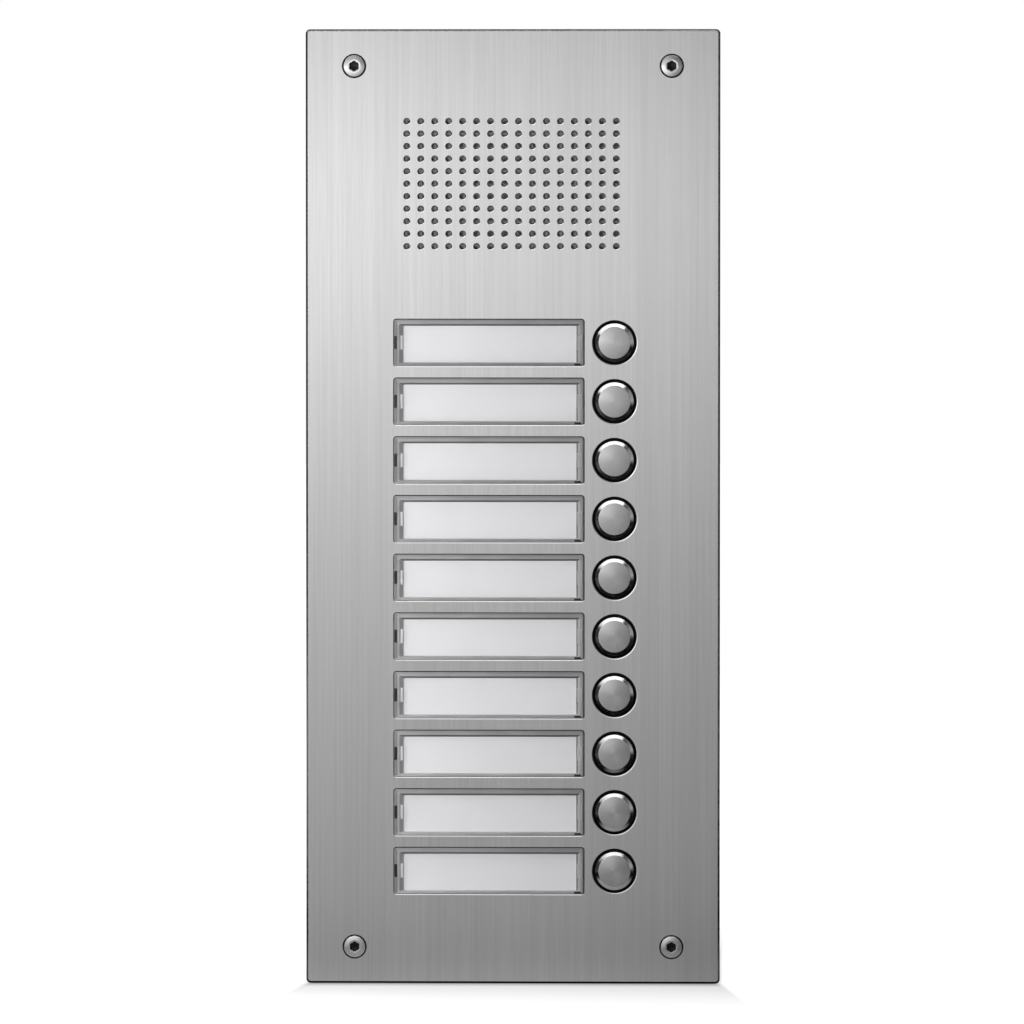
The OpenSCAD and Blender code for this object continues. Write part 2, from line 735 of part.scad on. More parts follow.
// A rubber grommet in the box's lower wall, with its bore straight down.
module cable_grommet() color(rubber) translate([0, box_depth / 2, -box_h / 2]) rotate_extrude() {
    groove_r = grommet_hole_d / 2 - touch;
    lip_r = grommet_hole_d / 2 + grommet_lip_w;
    polygon([
        [grommet_bore / 2, -grommet_lip_t], [lip_r - grommet_taper, -grommet_lip_t], [lip_r, 0],
        [groove_r, 0], [groove_r, box_wall], [lip_r, box_wall],
        [lip_r - grommet_taper, box_wall + grommet_lip_t], [grommet_bore / 2, box_wall + grommet_lip_t]]);
}

// ---- Call buttons ----

module button_collars() color(black_plastic) for (i = [0 : rows - 1]) turned(button_x, row_z(i)) {
    front = plate_front + collar_set_back;
    polygon([
        [collar_bore / 2, front + collar_mouth], [collar_bore / 2 + collar_mouth, front],
        [collar_d / 2, front],
        [collar_d / 2, plate_back], [collar_flange_d / 2, plate_back],
        [collar_flange_d / 2, collar_back], [collar_bore / 2, collar_back]]);
}

// A turned steel cap with a shallow dome, a bevel, a retaining flange, a seat for
// its spring and a stem behind.
module call_button(i) color(bright_steel) translate([button_x, 0, row_z(i)]) difference() {
    turned(0, 0) polygon(concat(dome(button_d / 2 - bevel_w, dome_h, button_front), [
        [button_d / 2, button_front + dome_h + bevel_depth],
        [button_d / 2, flange_front], [button_flange_d / 2, flange_front],
        [button_flange_d / 2, flange_back], [stem_d / 2, flange_back],
        [stem_d / 2, stem_back], [0, stem_back]]));
    turned(0, 0) translate([stem_d / 2, spring_front])
        square([seat_r - stem_d / 2, spring_seat_depth + eps]);
}

// One coil, swept as a tube. The wire lies flat for a third of a turn at each end.
module return_spring(i) color(steel) translate([button_x, 0, row_z(i)]) {
    steps = round(spring_turns * wire_steps);
    coil_r = (spring_d - spring_wire) / 2;
    low = spring_front + spring_wire / 2 + touch;
    high = spring_back - spring_wire / 2 - touch;
    flat = 0.3 / spring_turns;
    rings = [for (k = [0 : steps])
        let (t = k / steps, a = 360 * spring_turns * t)
        let (rise = max(0, min(1, (t - flat) / (1 - 2 * flat))), depth = low + (high - low) * rise)
        [for (s = [0 : wire_sides - 1])
            let (b = 360 * s / wire_sides, r = coil_r + spring_wire / 2 * cos(b))
            [r * cos(a), depth + spring_wire / 2 * sin(b), r * sin(a)]]];
    tube(rings);
}

// Skins a row of rings with the same number of points.
module tube(rings) {
    n = len(rings[0]);
    last = len(rings) - 1;
    sides = [for (k = [0 : last - 1], s = [0 : n - 1])
        [k * n + s, k * n + (s + 1) % n, (k + 1) * n + (s + 1) % n, (k + 1) * n + s]];
    first_cap = [for (s = [0 : n - 1]) n - 1 - s];
    last_cap = [for (s = [0 : n - 1]) last * n + s];
    polyhedron([for (ring = rings) each ring], concat(sides, [first_cap, last_cap]), convexity = 8);
}

// ---- Name windows ----

// A clear cover: a flat rim, a bevel down to the pane, a notch for a lifting tool
// with its ridge on the left, and three legs behind.
module name_window(i) color(clear_plastic) translate([window_x, 0, row_z(i)]) {
    leg_x = cover_w / 2 - leg_inset - leg_t / 2;
    difference() {
        slab(cover_front, plate_back) rounded_rect(cover_w, cover_h, window_r - cover_gap);
        tapered_block(
            [cover_w - 2 * cover_rim, cover_h - 2 * cover_rim], [pane_w, pane_h],
            [pane_shift_x, pane_shift_z], cover_front, pane_front);
        slab(cover_front - eps, plate_back + eps)
            translate([-cover_w / 2, 0]) square([2 * notch_w, notch_h], center = true);
    }
    slab(cover_front, pane_front + cover_gap)
        translate([ridge_inset - window_w / 2, -ridge_h / 2]) square([ridge_w, ridge_h]);
    slab(plate_back, plate_back + leg_length) {
        for (z = [-1, 1]) translate([-leg_x, z * left_leg_z()]) square([leg_t, leg_h], center = true);
        translate([leg_x, 0]) square([leg_t, tongue_h], center = true);
    }
}

// Middle of the two left legs, above and below the notch.
function left_leg_z() = cover_h / 2 - leg_end_inset - leg_h / 2;

module name_cards() color(card_white) for (i = [0 : rows - 1])
    slab(card_front, card_front + card_t) at_pane(i) square([card_w, card_h], center = true);

module light_diffusers() color(white_plastic) for (i = [0 : rows - 1])
    slab(diffuser_front, tray_back) at_pane(i) square([card_w, card_h], center = true);

// Moves an outline to the middle of a row's pane.
module at_pane(i) translate([window_x + pane_shift_x, row_z(i) + pane_shift_z]) children();

// ---- Button carrier ----

// The moulding behind the faceplate: it holds the covers, cards and diffusers,
// guides the buttons and carries the circuit board.
module button_carrier() color(black_plastic) difference() {
    union() {
        translate([0, 0, carrier_mid_z]) {
            slab(plate_back, carrier_back) rounded_rect(carrier_w, carrier_h, carrier_r);
            slab(plate_back, board_front) rounded_ring(carrier_w, carrier_h, carrier_r, carrier_wall);
        }
        slab(carrier_back - eps, board_front - well_gap) for (i = [0 : rows - 1])
            at_pane(i) square(light_size() + [2, 2] * well_wall, center = true);
        at_rows(button_x) bar(0, 0, cup_d, plate_back, spring_back + cup_floor);
        translate([button_x, 0, carrier_mid_z]) slab(carrier_back - eps, spring_back)
            square([cup_web, carrier_h - 2 * carrier_wall], center = true);
        at_board_screws() bar(0, 0, boss_d, plate_back, board_front);
    }
    for (i = [0 : rows - 1]) {
        slab(plate_back - eps, tray_back) at_pane(i) square(tray_size(), center = true);
        slab(plate_back, board_front) at_pane(i) square(light_size(), center = true);
    }
    at_rows(window_x) leg_slots();
    at_rows(button_x) {
        bar(0, 0, collar_flange_d + 2 * collar_gap, plate_back - eps, collar_back);
        bar(0, 0, cup_bore, plate_back, spring_back);
        bar(0, 0, stem_bore, spring_back - eps, spring_back + cup_floor + eps);
    }
    at_carrier_studs() {
        bar(0, 0, stud_d + 2 * stud_gap, plate_back - eps, carrier_back + eps);
        bar(0, 0, stud_flange_d + 2 * stud_gap, plate_back - eps, plate_back + stud_flange_t + stud_gap);
    }
    at_board_screws()
        bar(0, 0, board_screw_d + 2 * board_screw_gap, carrier_back, board_front + eps);
}

function tray_size() = [card_w + 2 * tray_gap, card_h + 2 * tray_gap];
function light_size() = tray_size() - [2, 2] * tray_ledge;

// The slots for a cover's legs, and the pocket behind its notch.
module leg_slots() {
    leg_x = cover_w / 2 - leg_inset - leg_t / 2;
    play = 2 * leg_gap;
    slab(plate_back - eps, carrier_back + eps) {
        for (z = [-1, 1]) translate([-leg_x, z * left_leg_z()])
            square([leg_t + play, leg_h + play], center = true);
        translate([leg_x, 0]) square([leg_t + play, tongue_h + play], center = true);
    }
    slab(plate_back - eps, plate_back + notch_pocket)
        translate([-leg_x, 0]) square([leg_t + play, notch_h], center = true);
}

// ---- Studs and nuts ----

module weld_studs() color(zinc_steel) {
    at_carrier_studs() weld_stud();
    at_clamp_studs() weld_stud();
}

module weld_stud() {
    bar(0, 0, stud_flange_d, plate_back, plate_back + stud_flange_t);
    bar(0, 0, stud_d, plate_back, plate_back + stud_length);
}

module stud_nuts() color(zinc_steel) {
    at_carrier_studs() hex_nut(carrier_back);
    at_clamp_studs() hex_nut(clamp_front + clamp_t);
}

module hex_nut(seat) slab(seat, seat + nut_h) difference() {
    circle(d = nut_flats / cos(30), $fn = 6);
    circle(d = stud_d + 2 * nut_gap);
}

// ---- Loudspeaker and microphone ----

module grille_screen() color(black_plastic) translate([grille_x, 0, grille_z])
    slab(plate_back, screen_back) rounded_rect(screen_w, screen_h, screen_r);

module speaker_seal() color(rubber) translate([speaker_x, 0, grille_z])
    slab(screen_back, rim_front) difference() {
        circle(d = speaker_d);
        circle(d = speaker_d - 2 * seal_w);
    }

// The pressed basket: a flat rim, a conical wall with six windows, and a floor.
module speaker_basket() color(zinc_steel) translate([speaker_x, 0, grille_z]) difference() {
    inner_r = speaker_d / 2 - speaker_rim_w;
    neck_r = speaker_d / 2 - clamp_lap - basket_wall;
    wall_r = neck_r - 2 * basket_wall;
    floor_r = magnet_d / 2 + basket_wall;
    hole_r = basket_hole_d / 2;
    floor_back = clamp_front + basket_depth;
    rim_back = clamp_front - cone_gap();
    turned(0, 0) polygon([
        [inner_r, rim_front], [speaker_d / 2, rim_front], [speaker_d / 2, clamp_front],
        [neck_r, clamp_front], [floor_r, floor_back], [hole_r, floor_back],
        [hole_r, floor_back - basket_wall], [floor_r - basket_wall, floor_back - basket_wall],
        [wall_r, rim_back], [inner_r, rim_back]]);
    for (i = [0 : 5]) translate([0, clamp_front + basket_depth / 2, 0]) rotate([0, i * 60, 0])
        translate([speaker_d / 2, 0, 0])
            cube([speaker_d, basket_depth - 2 * basket_rib, basket_window_w], center = true);
}

// Play between the cone and the basket's rim.
function cone_gap() = speaker_rim_t / 5;

// The paper cone with its dust cap, glued to the front of the basket's rim.
module speaker_cone() color(black_plastic) translate([speaker_x, 0, grille_z]) turned(0, 0) {
    edge_r = speaker_d / 2 - seal_w - cone_gap() / 2;
    rim_r = speaker_d / 2 - speaker_rim_w - cone_gap();
    roll_r = rim_r - cone_roll_h - dust_cap_h / 2;
    cap_r = cone_neck_r - dust_cap_h;
    front = rim_front - cone_t;
    roll = front + cone_roll_h;
    neck = front + cone_depth;
    cap = neck - dust_cap_h;
    polygon([
        [edge_r, front], [edge_r, rim_front], [rim_r, rim_front], [roll_r, roll],
        [cone_neck_r, neck], [cap_r, neck - dust_cap_h / 2], [0, cap], [0, cap - cone_t],
        [cap_r, neck - dust_cap_h / 2 - cone_t], [cone_neck_r, neck - 2 * cone_t],
        [roll_r, roll - 2 * cone_t], [rim_r - cone_t, front]]);
}

module speaker_magnet() color(zinc_steel) translate([speaker_x, 0, grille_z]) turned(0, 0) {
    front = clamp_front + basket_depth;
    back = front + magnet_depth;
    plate_r = magnet_d / 2;
    ring_r = plate_r - magnet_step;
    polygon([
        [0, front], [plate_r, front], [plate_r, front + magnet_plate_t],
        [ring_r, front + magnet_plate_t], [ring_r, back - magnet_plate_t],
        [plate_r, back - magnet_plate_t], [plate_r, back], [0, back]]);
}

// The steel plate that holds the loudspeaker and the microphone against the grille.
module speaker_clamp() color(zinc_steel) slab(clamp_front, clamp_front + clamp_t) difference() {
    translate([clamp_x, grille_z]) rounded_rect(clamp_w, clamp_h, clamp_r);
    translate([speaker_x, grille_z]) circle(d = speaker_d - 2 * clamp_lap);
    translate([mic_x, grille_z]) circle(d = boot_d + 2 * boot_gap);
    translate([clamp_x, grille_z]) for (x = [-1, 1], z = [-1, 1])
        translate([x * clamp_stud_span / 2, z * clamp_stud_z]) circle(d = stud_d + 2 * stud_gap);
}

module microphone() color(bright_steel)
    bar(mic_x, grille_z, mic_d, mic_front, mic_back);

// The rubber boot around the microphone, with an open mouth towards the grille.
module microphone_boot() color(rubber) turned(mic_x, grille_z) {
    bore_r = mic_d / 2 + touch;
    lip_r = bore_r - boot_lip_w;
    flange_r = boot_d / 2 + boot_flange_w;
    polygon([
        [lip_r, screen_back], [flange_r, screen_back], [flange_r, clamp_front],
        [boot_d / 2, clamp_front], [boot_d / 2, boot_back], [boot_hole_r, boot_back],
        [boot_hole_r, mic_back], [bore_r, mic_back], [bore_r, mic_front], [lip_r, mic_front]]);
}

// ---- Circuit board ----

module main_board() color(board_green) slab(board_front, board_back) difference() {
    translate([0, carrier_mid_z])
        rounded_rect(carrier_w - 2 * board_inset, carrier_h - 2 * board_inset, carrier_r - board_inset);
    ends = [carrier_top - board_screw_inset, carrier_bottom + board_screw_inset];
    middle = first_row_z - (rows / 2 - 1.5) * row_pitch;
    for (side = [-1, 1], z = concat(ends, [middle]))
        translate([side * stud_x, z]) circle(d = board_screw_d + 2 * board_hole_gap);
}

module push_switches() at_rows(button_x) {
    color(black_plastic) slab(board_front - switch_h + plunger_h, board_front)
        square(switch_w, center = true);
    color(grey_plastic)
        bar(0, 0, plunger_d, board_front - switch_h, board_front - switch_h + plunger_h);
}

module backlight_leds() color(white_plastic) for (i = [0 : rows - 1])
    slab(board_front - led_h, board_front) at_pane(i) for (side = [-1, 1])
        translate([side * led_span / 2, 0]) square([led_l, led_w], center = true);

module board_screws() color(zinc_steel) at_board_screws() difference() {
    union() {
        bar(0, 0, board_screw_d, board_back - board_screw_l, board_back);
        turned(0, 0) polygon([
            [0, board_back], [board_screw_head_d / 2, board_back],
            [board_screw_head_d / 2, board_back + board_screw_head_h / 2],
            [board_screw_head_d / 2 - board_screw_head_h / 2, board_back + board_screw_head_h],
            [0, board_back + board_screw_head_h]]);
    }
    slab(board_back + board_screw_head_h - slot_depth, board_back + board_screw_head_h + eps) {
        square([slot_l, slot_w], center = true);
        square([slot_w, slot_l], center = true);
    }
}

// The screw terminals behind the board: wires enter from below.
module terminal_block() color(grey_plastic) translate([0, 0, carrier_bottom + terminal_z]) difference() {
    back = board_back + terminal_h;
    slab(board_back, back) square([poles * pole_pitch, terminal_w], center = true);
    for (k = [0 : poles - 1]) {
        x = (k - (poles - 1) / 2) * pole_pitch;
        bar(x, 0, terminal_screw_d + 2 * terminal_screw_gap, back - terminal_h / 2, back + eps);
        translate([x, board_back + terminal_h / 4, -terminal_w / 2 - eps])
            cylinder(d = wire_entry_d, h = 0.8 * terminal_w);
    }
}

module terminal_screws() color(brass) translate([0, 0, carrier_bottom + terminal_z])
    for (k = [0 : poles - 1]) difference() {
        x = (k - (poles - 1) / 2) * pole_pitch;
        foot = board_back + terminal_h / 2;
        bar(x, 0, terminal_screw_d, foot, foot + terminal_screw_l);
        translate([x, 0, 0])
            slab(foot + terminal_screw_l - slot_depth, foot + terminal_screw_l + eps)
                square([terminal_screw_d + eps, slot_w], center = true);
    }

module trimmer_bodies() color(grey_plastic) for (side = [-1, 1]) at_trimmer(side) difference() {
    back = board_back + trimmer_h;
    slab(board_back, back) rounded_rect(trimmer_w, trimmer_w, trimmer_r);
    bar(0, 0, rotor_d + 2 * rotor_gap, back + rotor_rise - rotor_t - rotor_gap / 4, back + eps);
}

// A trimmer's rotor with its screwdriver slot.
module trimmer_rotor() color(white_plastic) difference() {
    back = board_back + trimmer_h + rotor_rise;
    bar(0, 0, rotor_d, back - rotor_t, back);
    slab(back - slot_depth, back + eps) square([0.8 * rotor_d, slot_w], center = true);
}

module speaker_trimmer() at_trimmer(-1) trimmer_rotor();
module mic_trimmer() at_trimmer(1) trimmer_rotor();

faceplate();
wall_gasket();
back_box();
rivet_nuts();
plate_screws();
button_collars();
button_carrier();
name_cards();
light_diffusers();
weld_studs();
stud_nuts();
grille_screen();
speaker_seal();
speaker_basket();
speaker_cone();
speaker_magnet();
speaker_clamp();
microphone();
microphone_boot();
main_board();
push_switches();
backlight_leds();
board_screws();
terminal_block();
terminal_screws();
trimmer_bodies();
speaker_trimmer();
mic_trimmer();
cable_grommet();
for (i = [0 : rows - 1]) {
    call_button(i);
    return_spring(i);
    name_window(i);
}
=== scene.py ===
import json
import math

import bmesh
import bpy
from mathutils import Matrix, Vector
from mathutils.geometry import delaunay_2d_cdt

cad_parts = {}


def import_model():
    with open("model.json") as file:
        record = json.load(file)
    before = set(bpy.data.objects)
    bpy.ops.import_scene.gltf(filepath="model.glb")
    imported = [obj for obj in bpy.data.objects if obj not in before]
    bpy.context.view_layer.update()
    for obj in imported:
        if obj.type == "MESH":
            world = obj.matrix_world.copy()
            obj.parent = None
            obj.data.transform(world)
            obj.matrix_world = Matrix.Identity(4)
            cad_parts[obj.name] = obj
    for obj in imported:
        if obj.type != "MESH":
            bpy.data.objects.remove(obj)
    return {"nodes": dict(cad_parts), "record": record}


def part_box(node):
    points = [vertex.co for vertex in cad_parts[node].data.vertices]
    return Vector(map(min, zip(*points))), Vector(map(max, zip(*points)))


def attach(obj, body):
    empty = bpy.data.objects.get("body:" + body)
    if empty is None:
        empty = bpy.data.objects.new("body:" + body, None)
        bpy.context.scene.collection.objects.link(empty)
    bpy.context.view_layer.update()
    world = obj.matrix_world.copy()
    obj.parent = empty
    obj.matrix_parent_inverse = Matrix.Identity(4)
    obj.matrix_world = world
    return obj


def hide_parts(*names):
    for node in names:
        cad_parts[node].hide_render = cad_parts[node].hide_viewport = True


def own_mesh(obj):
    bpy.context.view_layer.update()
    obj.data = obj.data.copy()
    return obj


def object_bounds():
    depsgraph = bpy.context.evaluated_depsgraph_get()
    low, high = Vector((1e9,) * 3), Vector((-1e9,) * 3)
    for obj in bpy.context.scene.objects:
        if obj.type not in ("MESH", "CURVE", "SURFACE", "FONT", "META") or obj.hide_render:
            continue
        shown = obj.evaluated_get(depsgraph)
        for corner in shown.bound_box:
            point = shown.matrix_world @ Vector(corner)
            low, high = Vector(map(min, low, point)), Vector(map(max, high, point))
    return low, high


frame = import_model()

CAD_BOX = [list(corner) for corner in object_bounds()]
MM = 0.001
ROWS = range(1, 11)
PLATE_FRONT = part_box("faceplate")[0][1]

# ---- Sizes that the frame doesn't give, in metres ----

PLATE_EDGE = 0.7 * MM         # soft chamfer along the plate's front edges
PLATE_CORNER_R = 1.5 * MM
BREAK = 0.3 * MM              # broken edge round each opening
# An edge in steps of (how far outside the opening, how deep), as shares of the break.
BROKEN_EDGE = ((0.6, 0), (0, 0.8))
ROLLED_EDGE = ((0.8, 0), (0.1, 0.18), (0, 0.8))
HOLE_R = 1.1 * MM             # sound holes
HOLE_COLS, HOLE_ROWS = 16, 11
SCREEN_MARGIN = 1.6 * MM      # the insect screen reaches this far past the holes
WINDOW_GAP = 0.1 * MM         # round a cover in its opening
WINDOW_CORNER_R = 1 * MM
WINDOW_BREAK = 0.55 * BREAK
BUTTON_HOLE_R = 7.6 * MM - 0.05 * MM    # drawn a little closer to the collar
SINK_R = 4.15 * MM            # mouth of a countersink
SINK_BORE_R = 2.25 * MM

CAP_R = 6.5 * MM
CAP_FACE_R = 5.4 * MM
CAP_DOME = 0.3 * MM
CAP_BEVEL = 0.87 * MM         # depth of the bevel behind the face's edge
CAP_FLANGE_T = 1.0 * MM
CAP_SEAT_R = 5.6 * MM         # seat of the return spring in the cap's back
CAP_SEAT_DEPTH = 1.85 * MM
STEM_R = 2.0 * MM
COLLAR_BORE_R = 6.8 * MM
COLLAR_R = 7.5 * MM

SPRING_R = 4.65 * MM          # to the middle of the wire
SPRING_WIRE = 0.7 * MM
SPRING_TURNS = 4.5

SCREW_HEAD_R = 3.8 * MM
SCREW_FACE_R = 3.4 * MM       # where the head's face rolls over to its rim
SCREW_FACE_DOME = 0.3 * MM
SCREW_R = 2.0 * MM
SCREW_ROOT_R = SCREW_R - 0.35 * MM
SCREW_TIP_R = SCREW_R - 0.6 * MM
SCREW_TIP = 0.5 * MM          # length of the chamfer at the screw's end
SCREW_DOME = 0.9 * MM         # how far the head stands above its rim
SCREW_RECESS_R = 1.675 * MM
SCREW_RECESS_DEPTH = 1.5 * MM
SCREW_PITCH = 0.7 * MM

# The window cover in steps from its rim to its pane: how deep each step lies
# behind the cover's front, and how far it is inside the opening at the left,
# the right, the top and the bottom. The tone of the band up to the next step
# follows, for the same four sides: painted light and shade, which makes a band
# lighter or darker side by side as light and reflections fall on the clear moulding.
COVER_STEPS = [
    (0.20, (0.1, 0.1, 0.1, 0.1), ("mid", "dark", "dark", "pale")),
    (0.00, (0.3, 0.3, 0.3, 0.3), ("mid", "soft", "pale", "light")),
    (0.02, (1.3, 0.8, 0.9, 0.4), ("bright", "pale", "light", "light")),
    (0.35, (2.0, 1.4, 1.8, 1.0), ("pale", "light", "dim", "light")),
    (0.80, (3.4, 2.3, 2.4, 1.3), None),
]
COVER_RADII = (0.9 * MM, 0.8 * MM, 0.6 * MM, 0.5 * MM, 0.5 * MM)    # corners, step by step
NOTCH_H = 4.4 * MM
NOTCH_DEPTH = 1.5 * MM
TONGUE_H = 5.0 * MM
PAINTED_SHADE_FOOT = 3.4 * MM          # length of painted shade at the right end of the band under a card
RIDGE_W, RIDGE_H = 0.7 * MM, 4.8 * MM    # ridge beside the notch, painted bright as a highlight
RIDGE_INSET = 2.5 * MM
TONGUE_W = 1.05 * MM          # ridge in the tongue at the right, painted bright as a highlight
TONGUE_INSET = 1.35 * MM
LEG_W = 1 * MM
LEG_INSET = 1 * MM            # from the cover's side to the middle of a leg
# The legs: which side, how far above the cover's middle, and how tall.
LEGS = ((-1, 5.5 * MM, 3 * MM), (-1, -5.5 * MM, 3 * MM), (1, 0, 5 * MM))
PANE_GAP = 0.02 * MM          # between the pane and its frame, so that no faces coincide


def centre_of(node):
    """Middle of a CAD node, across and up."""
    low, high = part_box(node)
    return (low[0] + high[0]) / 2, (low[2] + high[2]) / 2


def numbered(name, i):
    return f"{name}_{i:02d}"


# ---- Outlines, as lists of (x, z), and profiles, as lists of (radius, y) ----

def ring(radius, centre=(0, 0), count=64):
    """A circle, anticlockwise from its right."""
    turn = 2 * math.pi / count
    return [(centre[0] + radius * math.cos(i * turn), centre[1] + radius * math.sin(i * turn))
            for i in range(count)]


def rounded(width, height, radius, centre=(0, 0), steps=6):
    """A rectangle with round corners, anticlockwise from its right edge."""
    outline = []
    for corner, (sx, sz) in enumerate(((1, 1), (-1, 1), (-1, -1), (1, -1))):
        x = centre[0] + sx * (width / 2 - radius)
        z = centre[1] + sz * (height / 2 - radius)
        for k in range(steps + 1):
            a = math.radians(90 * (corner + k / steps))
            outline.append((x + radius * math.cos(a), z + radius * math.sin(a)))
    return outline


def fillet(points, steps=4):
    """A profile whose corners are rounded: each point is (radius, y, rounding)."""
    profile = []
    for i, (r, y, rounding) in enumerate(points):
        if not rounding or i in (0, len(points) - 1):
            profile.append((r, y))
            continue
        here = Vector((r, y))
        back = (Vector(points[i - 1][:2]) - here).normalized()
        on = (Vector(points[i + 1][:2]) - here).normalized()
        reach = rounding / math.tan(back.angle(on) / 2)
        start, end = here + back * reach, here + on * reach
        for k in range(steps + 1):
            t = k / steps
            p = start.lerp(here, t).lerp(here.lerp(end, t), t)
            profile.append((p.x, p.y))
    return profile


def dome(rim_r, height, top, steps=10):
    """The arc of a shallow dome, from its top on the axis to its rim."""
    r = (rim_r ** 2 + height ** 2) / (2 * height)
    sweep = math.asin(rim_r / r)
    return [(r * math.sin(sweep * k / steps), top + r * (1 - math.cos(sweep * k / steps)))
            for k in range(steps + 1)]


# ---- Mesh building ----

def loop(bm, outline, y):
    return [bm.verts.new((x, y, z)) for x, z in outline]


def bridge(bm, a, b, slot=0):
    """Joins two loops of as many points with a band of faces."""
    for i in range(len(a)):
        j = (i + 1) % len(a)
        bm.faces.new((a[i], a[j], b[j], b[i])).material_index = slot


def tunnel(bm, rings, slot=0):
    """Joins a row of (outline, y) loops and gives back the first and the last."""
    loops = [loop(bm, outline, y) for outline, y in rings]
    for a, b in zip(loops, loops[1:]):
        bridge(bm, a, b, slot)
    return loops[0], loops[-1]


def fill(bm, outer, holes=(), slot=0):
    """Fills the flat region inside outer and outside the convex holes, with a sharp border."""
    verts, edges, owner = [], [], {}
    for n, edge_loop in enumerate([outer, *holes]):
        start = len(verts)
        count = len(edge_loop)
        edges += [(start + i, start + (i + 1) % count) for i in range(count)]
        for i, v in enumerate(edge_loop):
            owner[start + i] = n
            verts.append(v)
    flat = [Vector((v.co.x, v.co.z)) for v in verts]
    out = delaunay_2d_cdt(flat, edges, [], 1, 1e-9, True)
    first = [ids[0] for ids in out[3]]
    for face in out[2]:
        corners = [first[i] for i in face]
        owners = {owner[c] for c in corners}
        if len(owners) == 1 and owners != {0}:
            continue
        bm.faces.new([verts[c] for c in corners]).material_index = slot
    for a, b in edges:
        bm.edges.get((verts[a], verts[b])).smooth = False


def lathe(bm, profile, centre, count=96, closed=False):
    """Turns a (radius, y) profile about an axis that runs front to back."""
    rings = []
    for r, y in profile:
        if r < 1e-7:
            rings.append([bm.verts.new((centre[0], y, centre[1]))])
        else:
            rings.append(loop(bm, ring(r, centre, count), y))
    for a, b in zip(rings, rings[1:]):
        if len(a) == 1 or len(b) == 1:
            fan(bm, a, b)
        else:
            bridge(bm, a, b)
    if closed:
        bridge(bm, rings[-1], rings[0])


def fan(bm, a, b, slot=0):
    """Joins a loop to a single point; either of the two may be the point."""
    tip, edge_loop = (a[0], b) if len(a) == 1 else (b[0], a)
    for i in range(len(edge_loop)):
        bm.faces.new((tip, edge_loop[i], edge_loop[(i + 1) % len(edge_loop)])).material_index = slot


def block(bm, size, centre, y_front, y_back, edge, slot):
    """A rectangular bar that runs front to back, with a broken front edge."""
    w, h = size
    full = rounded(w, h, edge, centre, 2)
    slim = rounded(w - edge, h - edge, edge / 2, centre, 2)
    front, back = tunnel(bm, [(slim, y_front), (full, y_front + edge / 2), (full, y_back)], slot)
    bm.faces.new(front).material_index = slot
    bm.faces.new(back).material_index = slot


def piece(bm, name, body, materials, replaces=(), sharp=28):
    """Makes the mesh an object that rides on a body and stands for CAD nodes."""
    bmesh.ops.recalc_face_normals(bm, faces=bm.faces)
    for face in bm.faces:
        face.smooth = True
    for edge in bm.edges:
        if len(edge.link_faces) == 2 and edge.calc_face_angle(0) > math.radians(sharp):
            edge.smooth = False
    mesh = bpy.data.meshes.new(name)
    bm.to_mesh(mesh)
    bm.free()
    for mat in materials:
        mesh.materials.append(mat)
    obj = bpy.data.objects.new(name, mesh)
    bpy.context.scene.collection.objects.link(obj)
    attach(obj, body)
    if replaces:
        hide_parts(*replaces)
    return obj


# ---- Materials ----

def combine(tree, operation, *values):
    """A math node on numbers and sockets, and the socket that it gives back."""
    node = tree.nodes.new("ShaderNodeMath")
    node.operation = operation
    for socket, value in zip(node.inputs, values):
        if isinstance(value, (int, float)):
            socket.default_value = value
        else:
            tree.links.new(value, socket)
    return node.outputs[0]


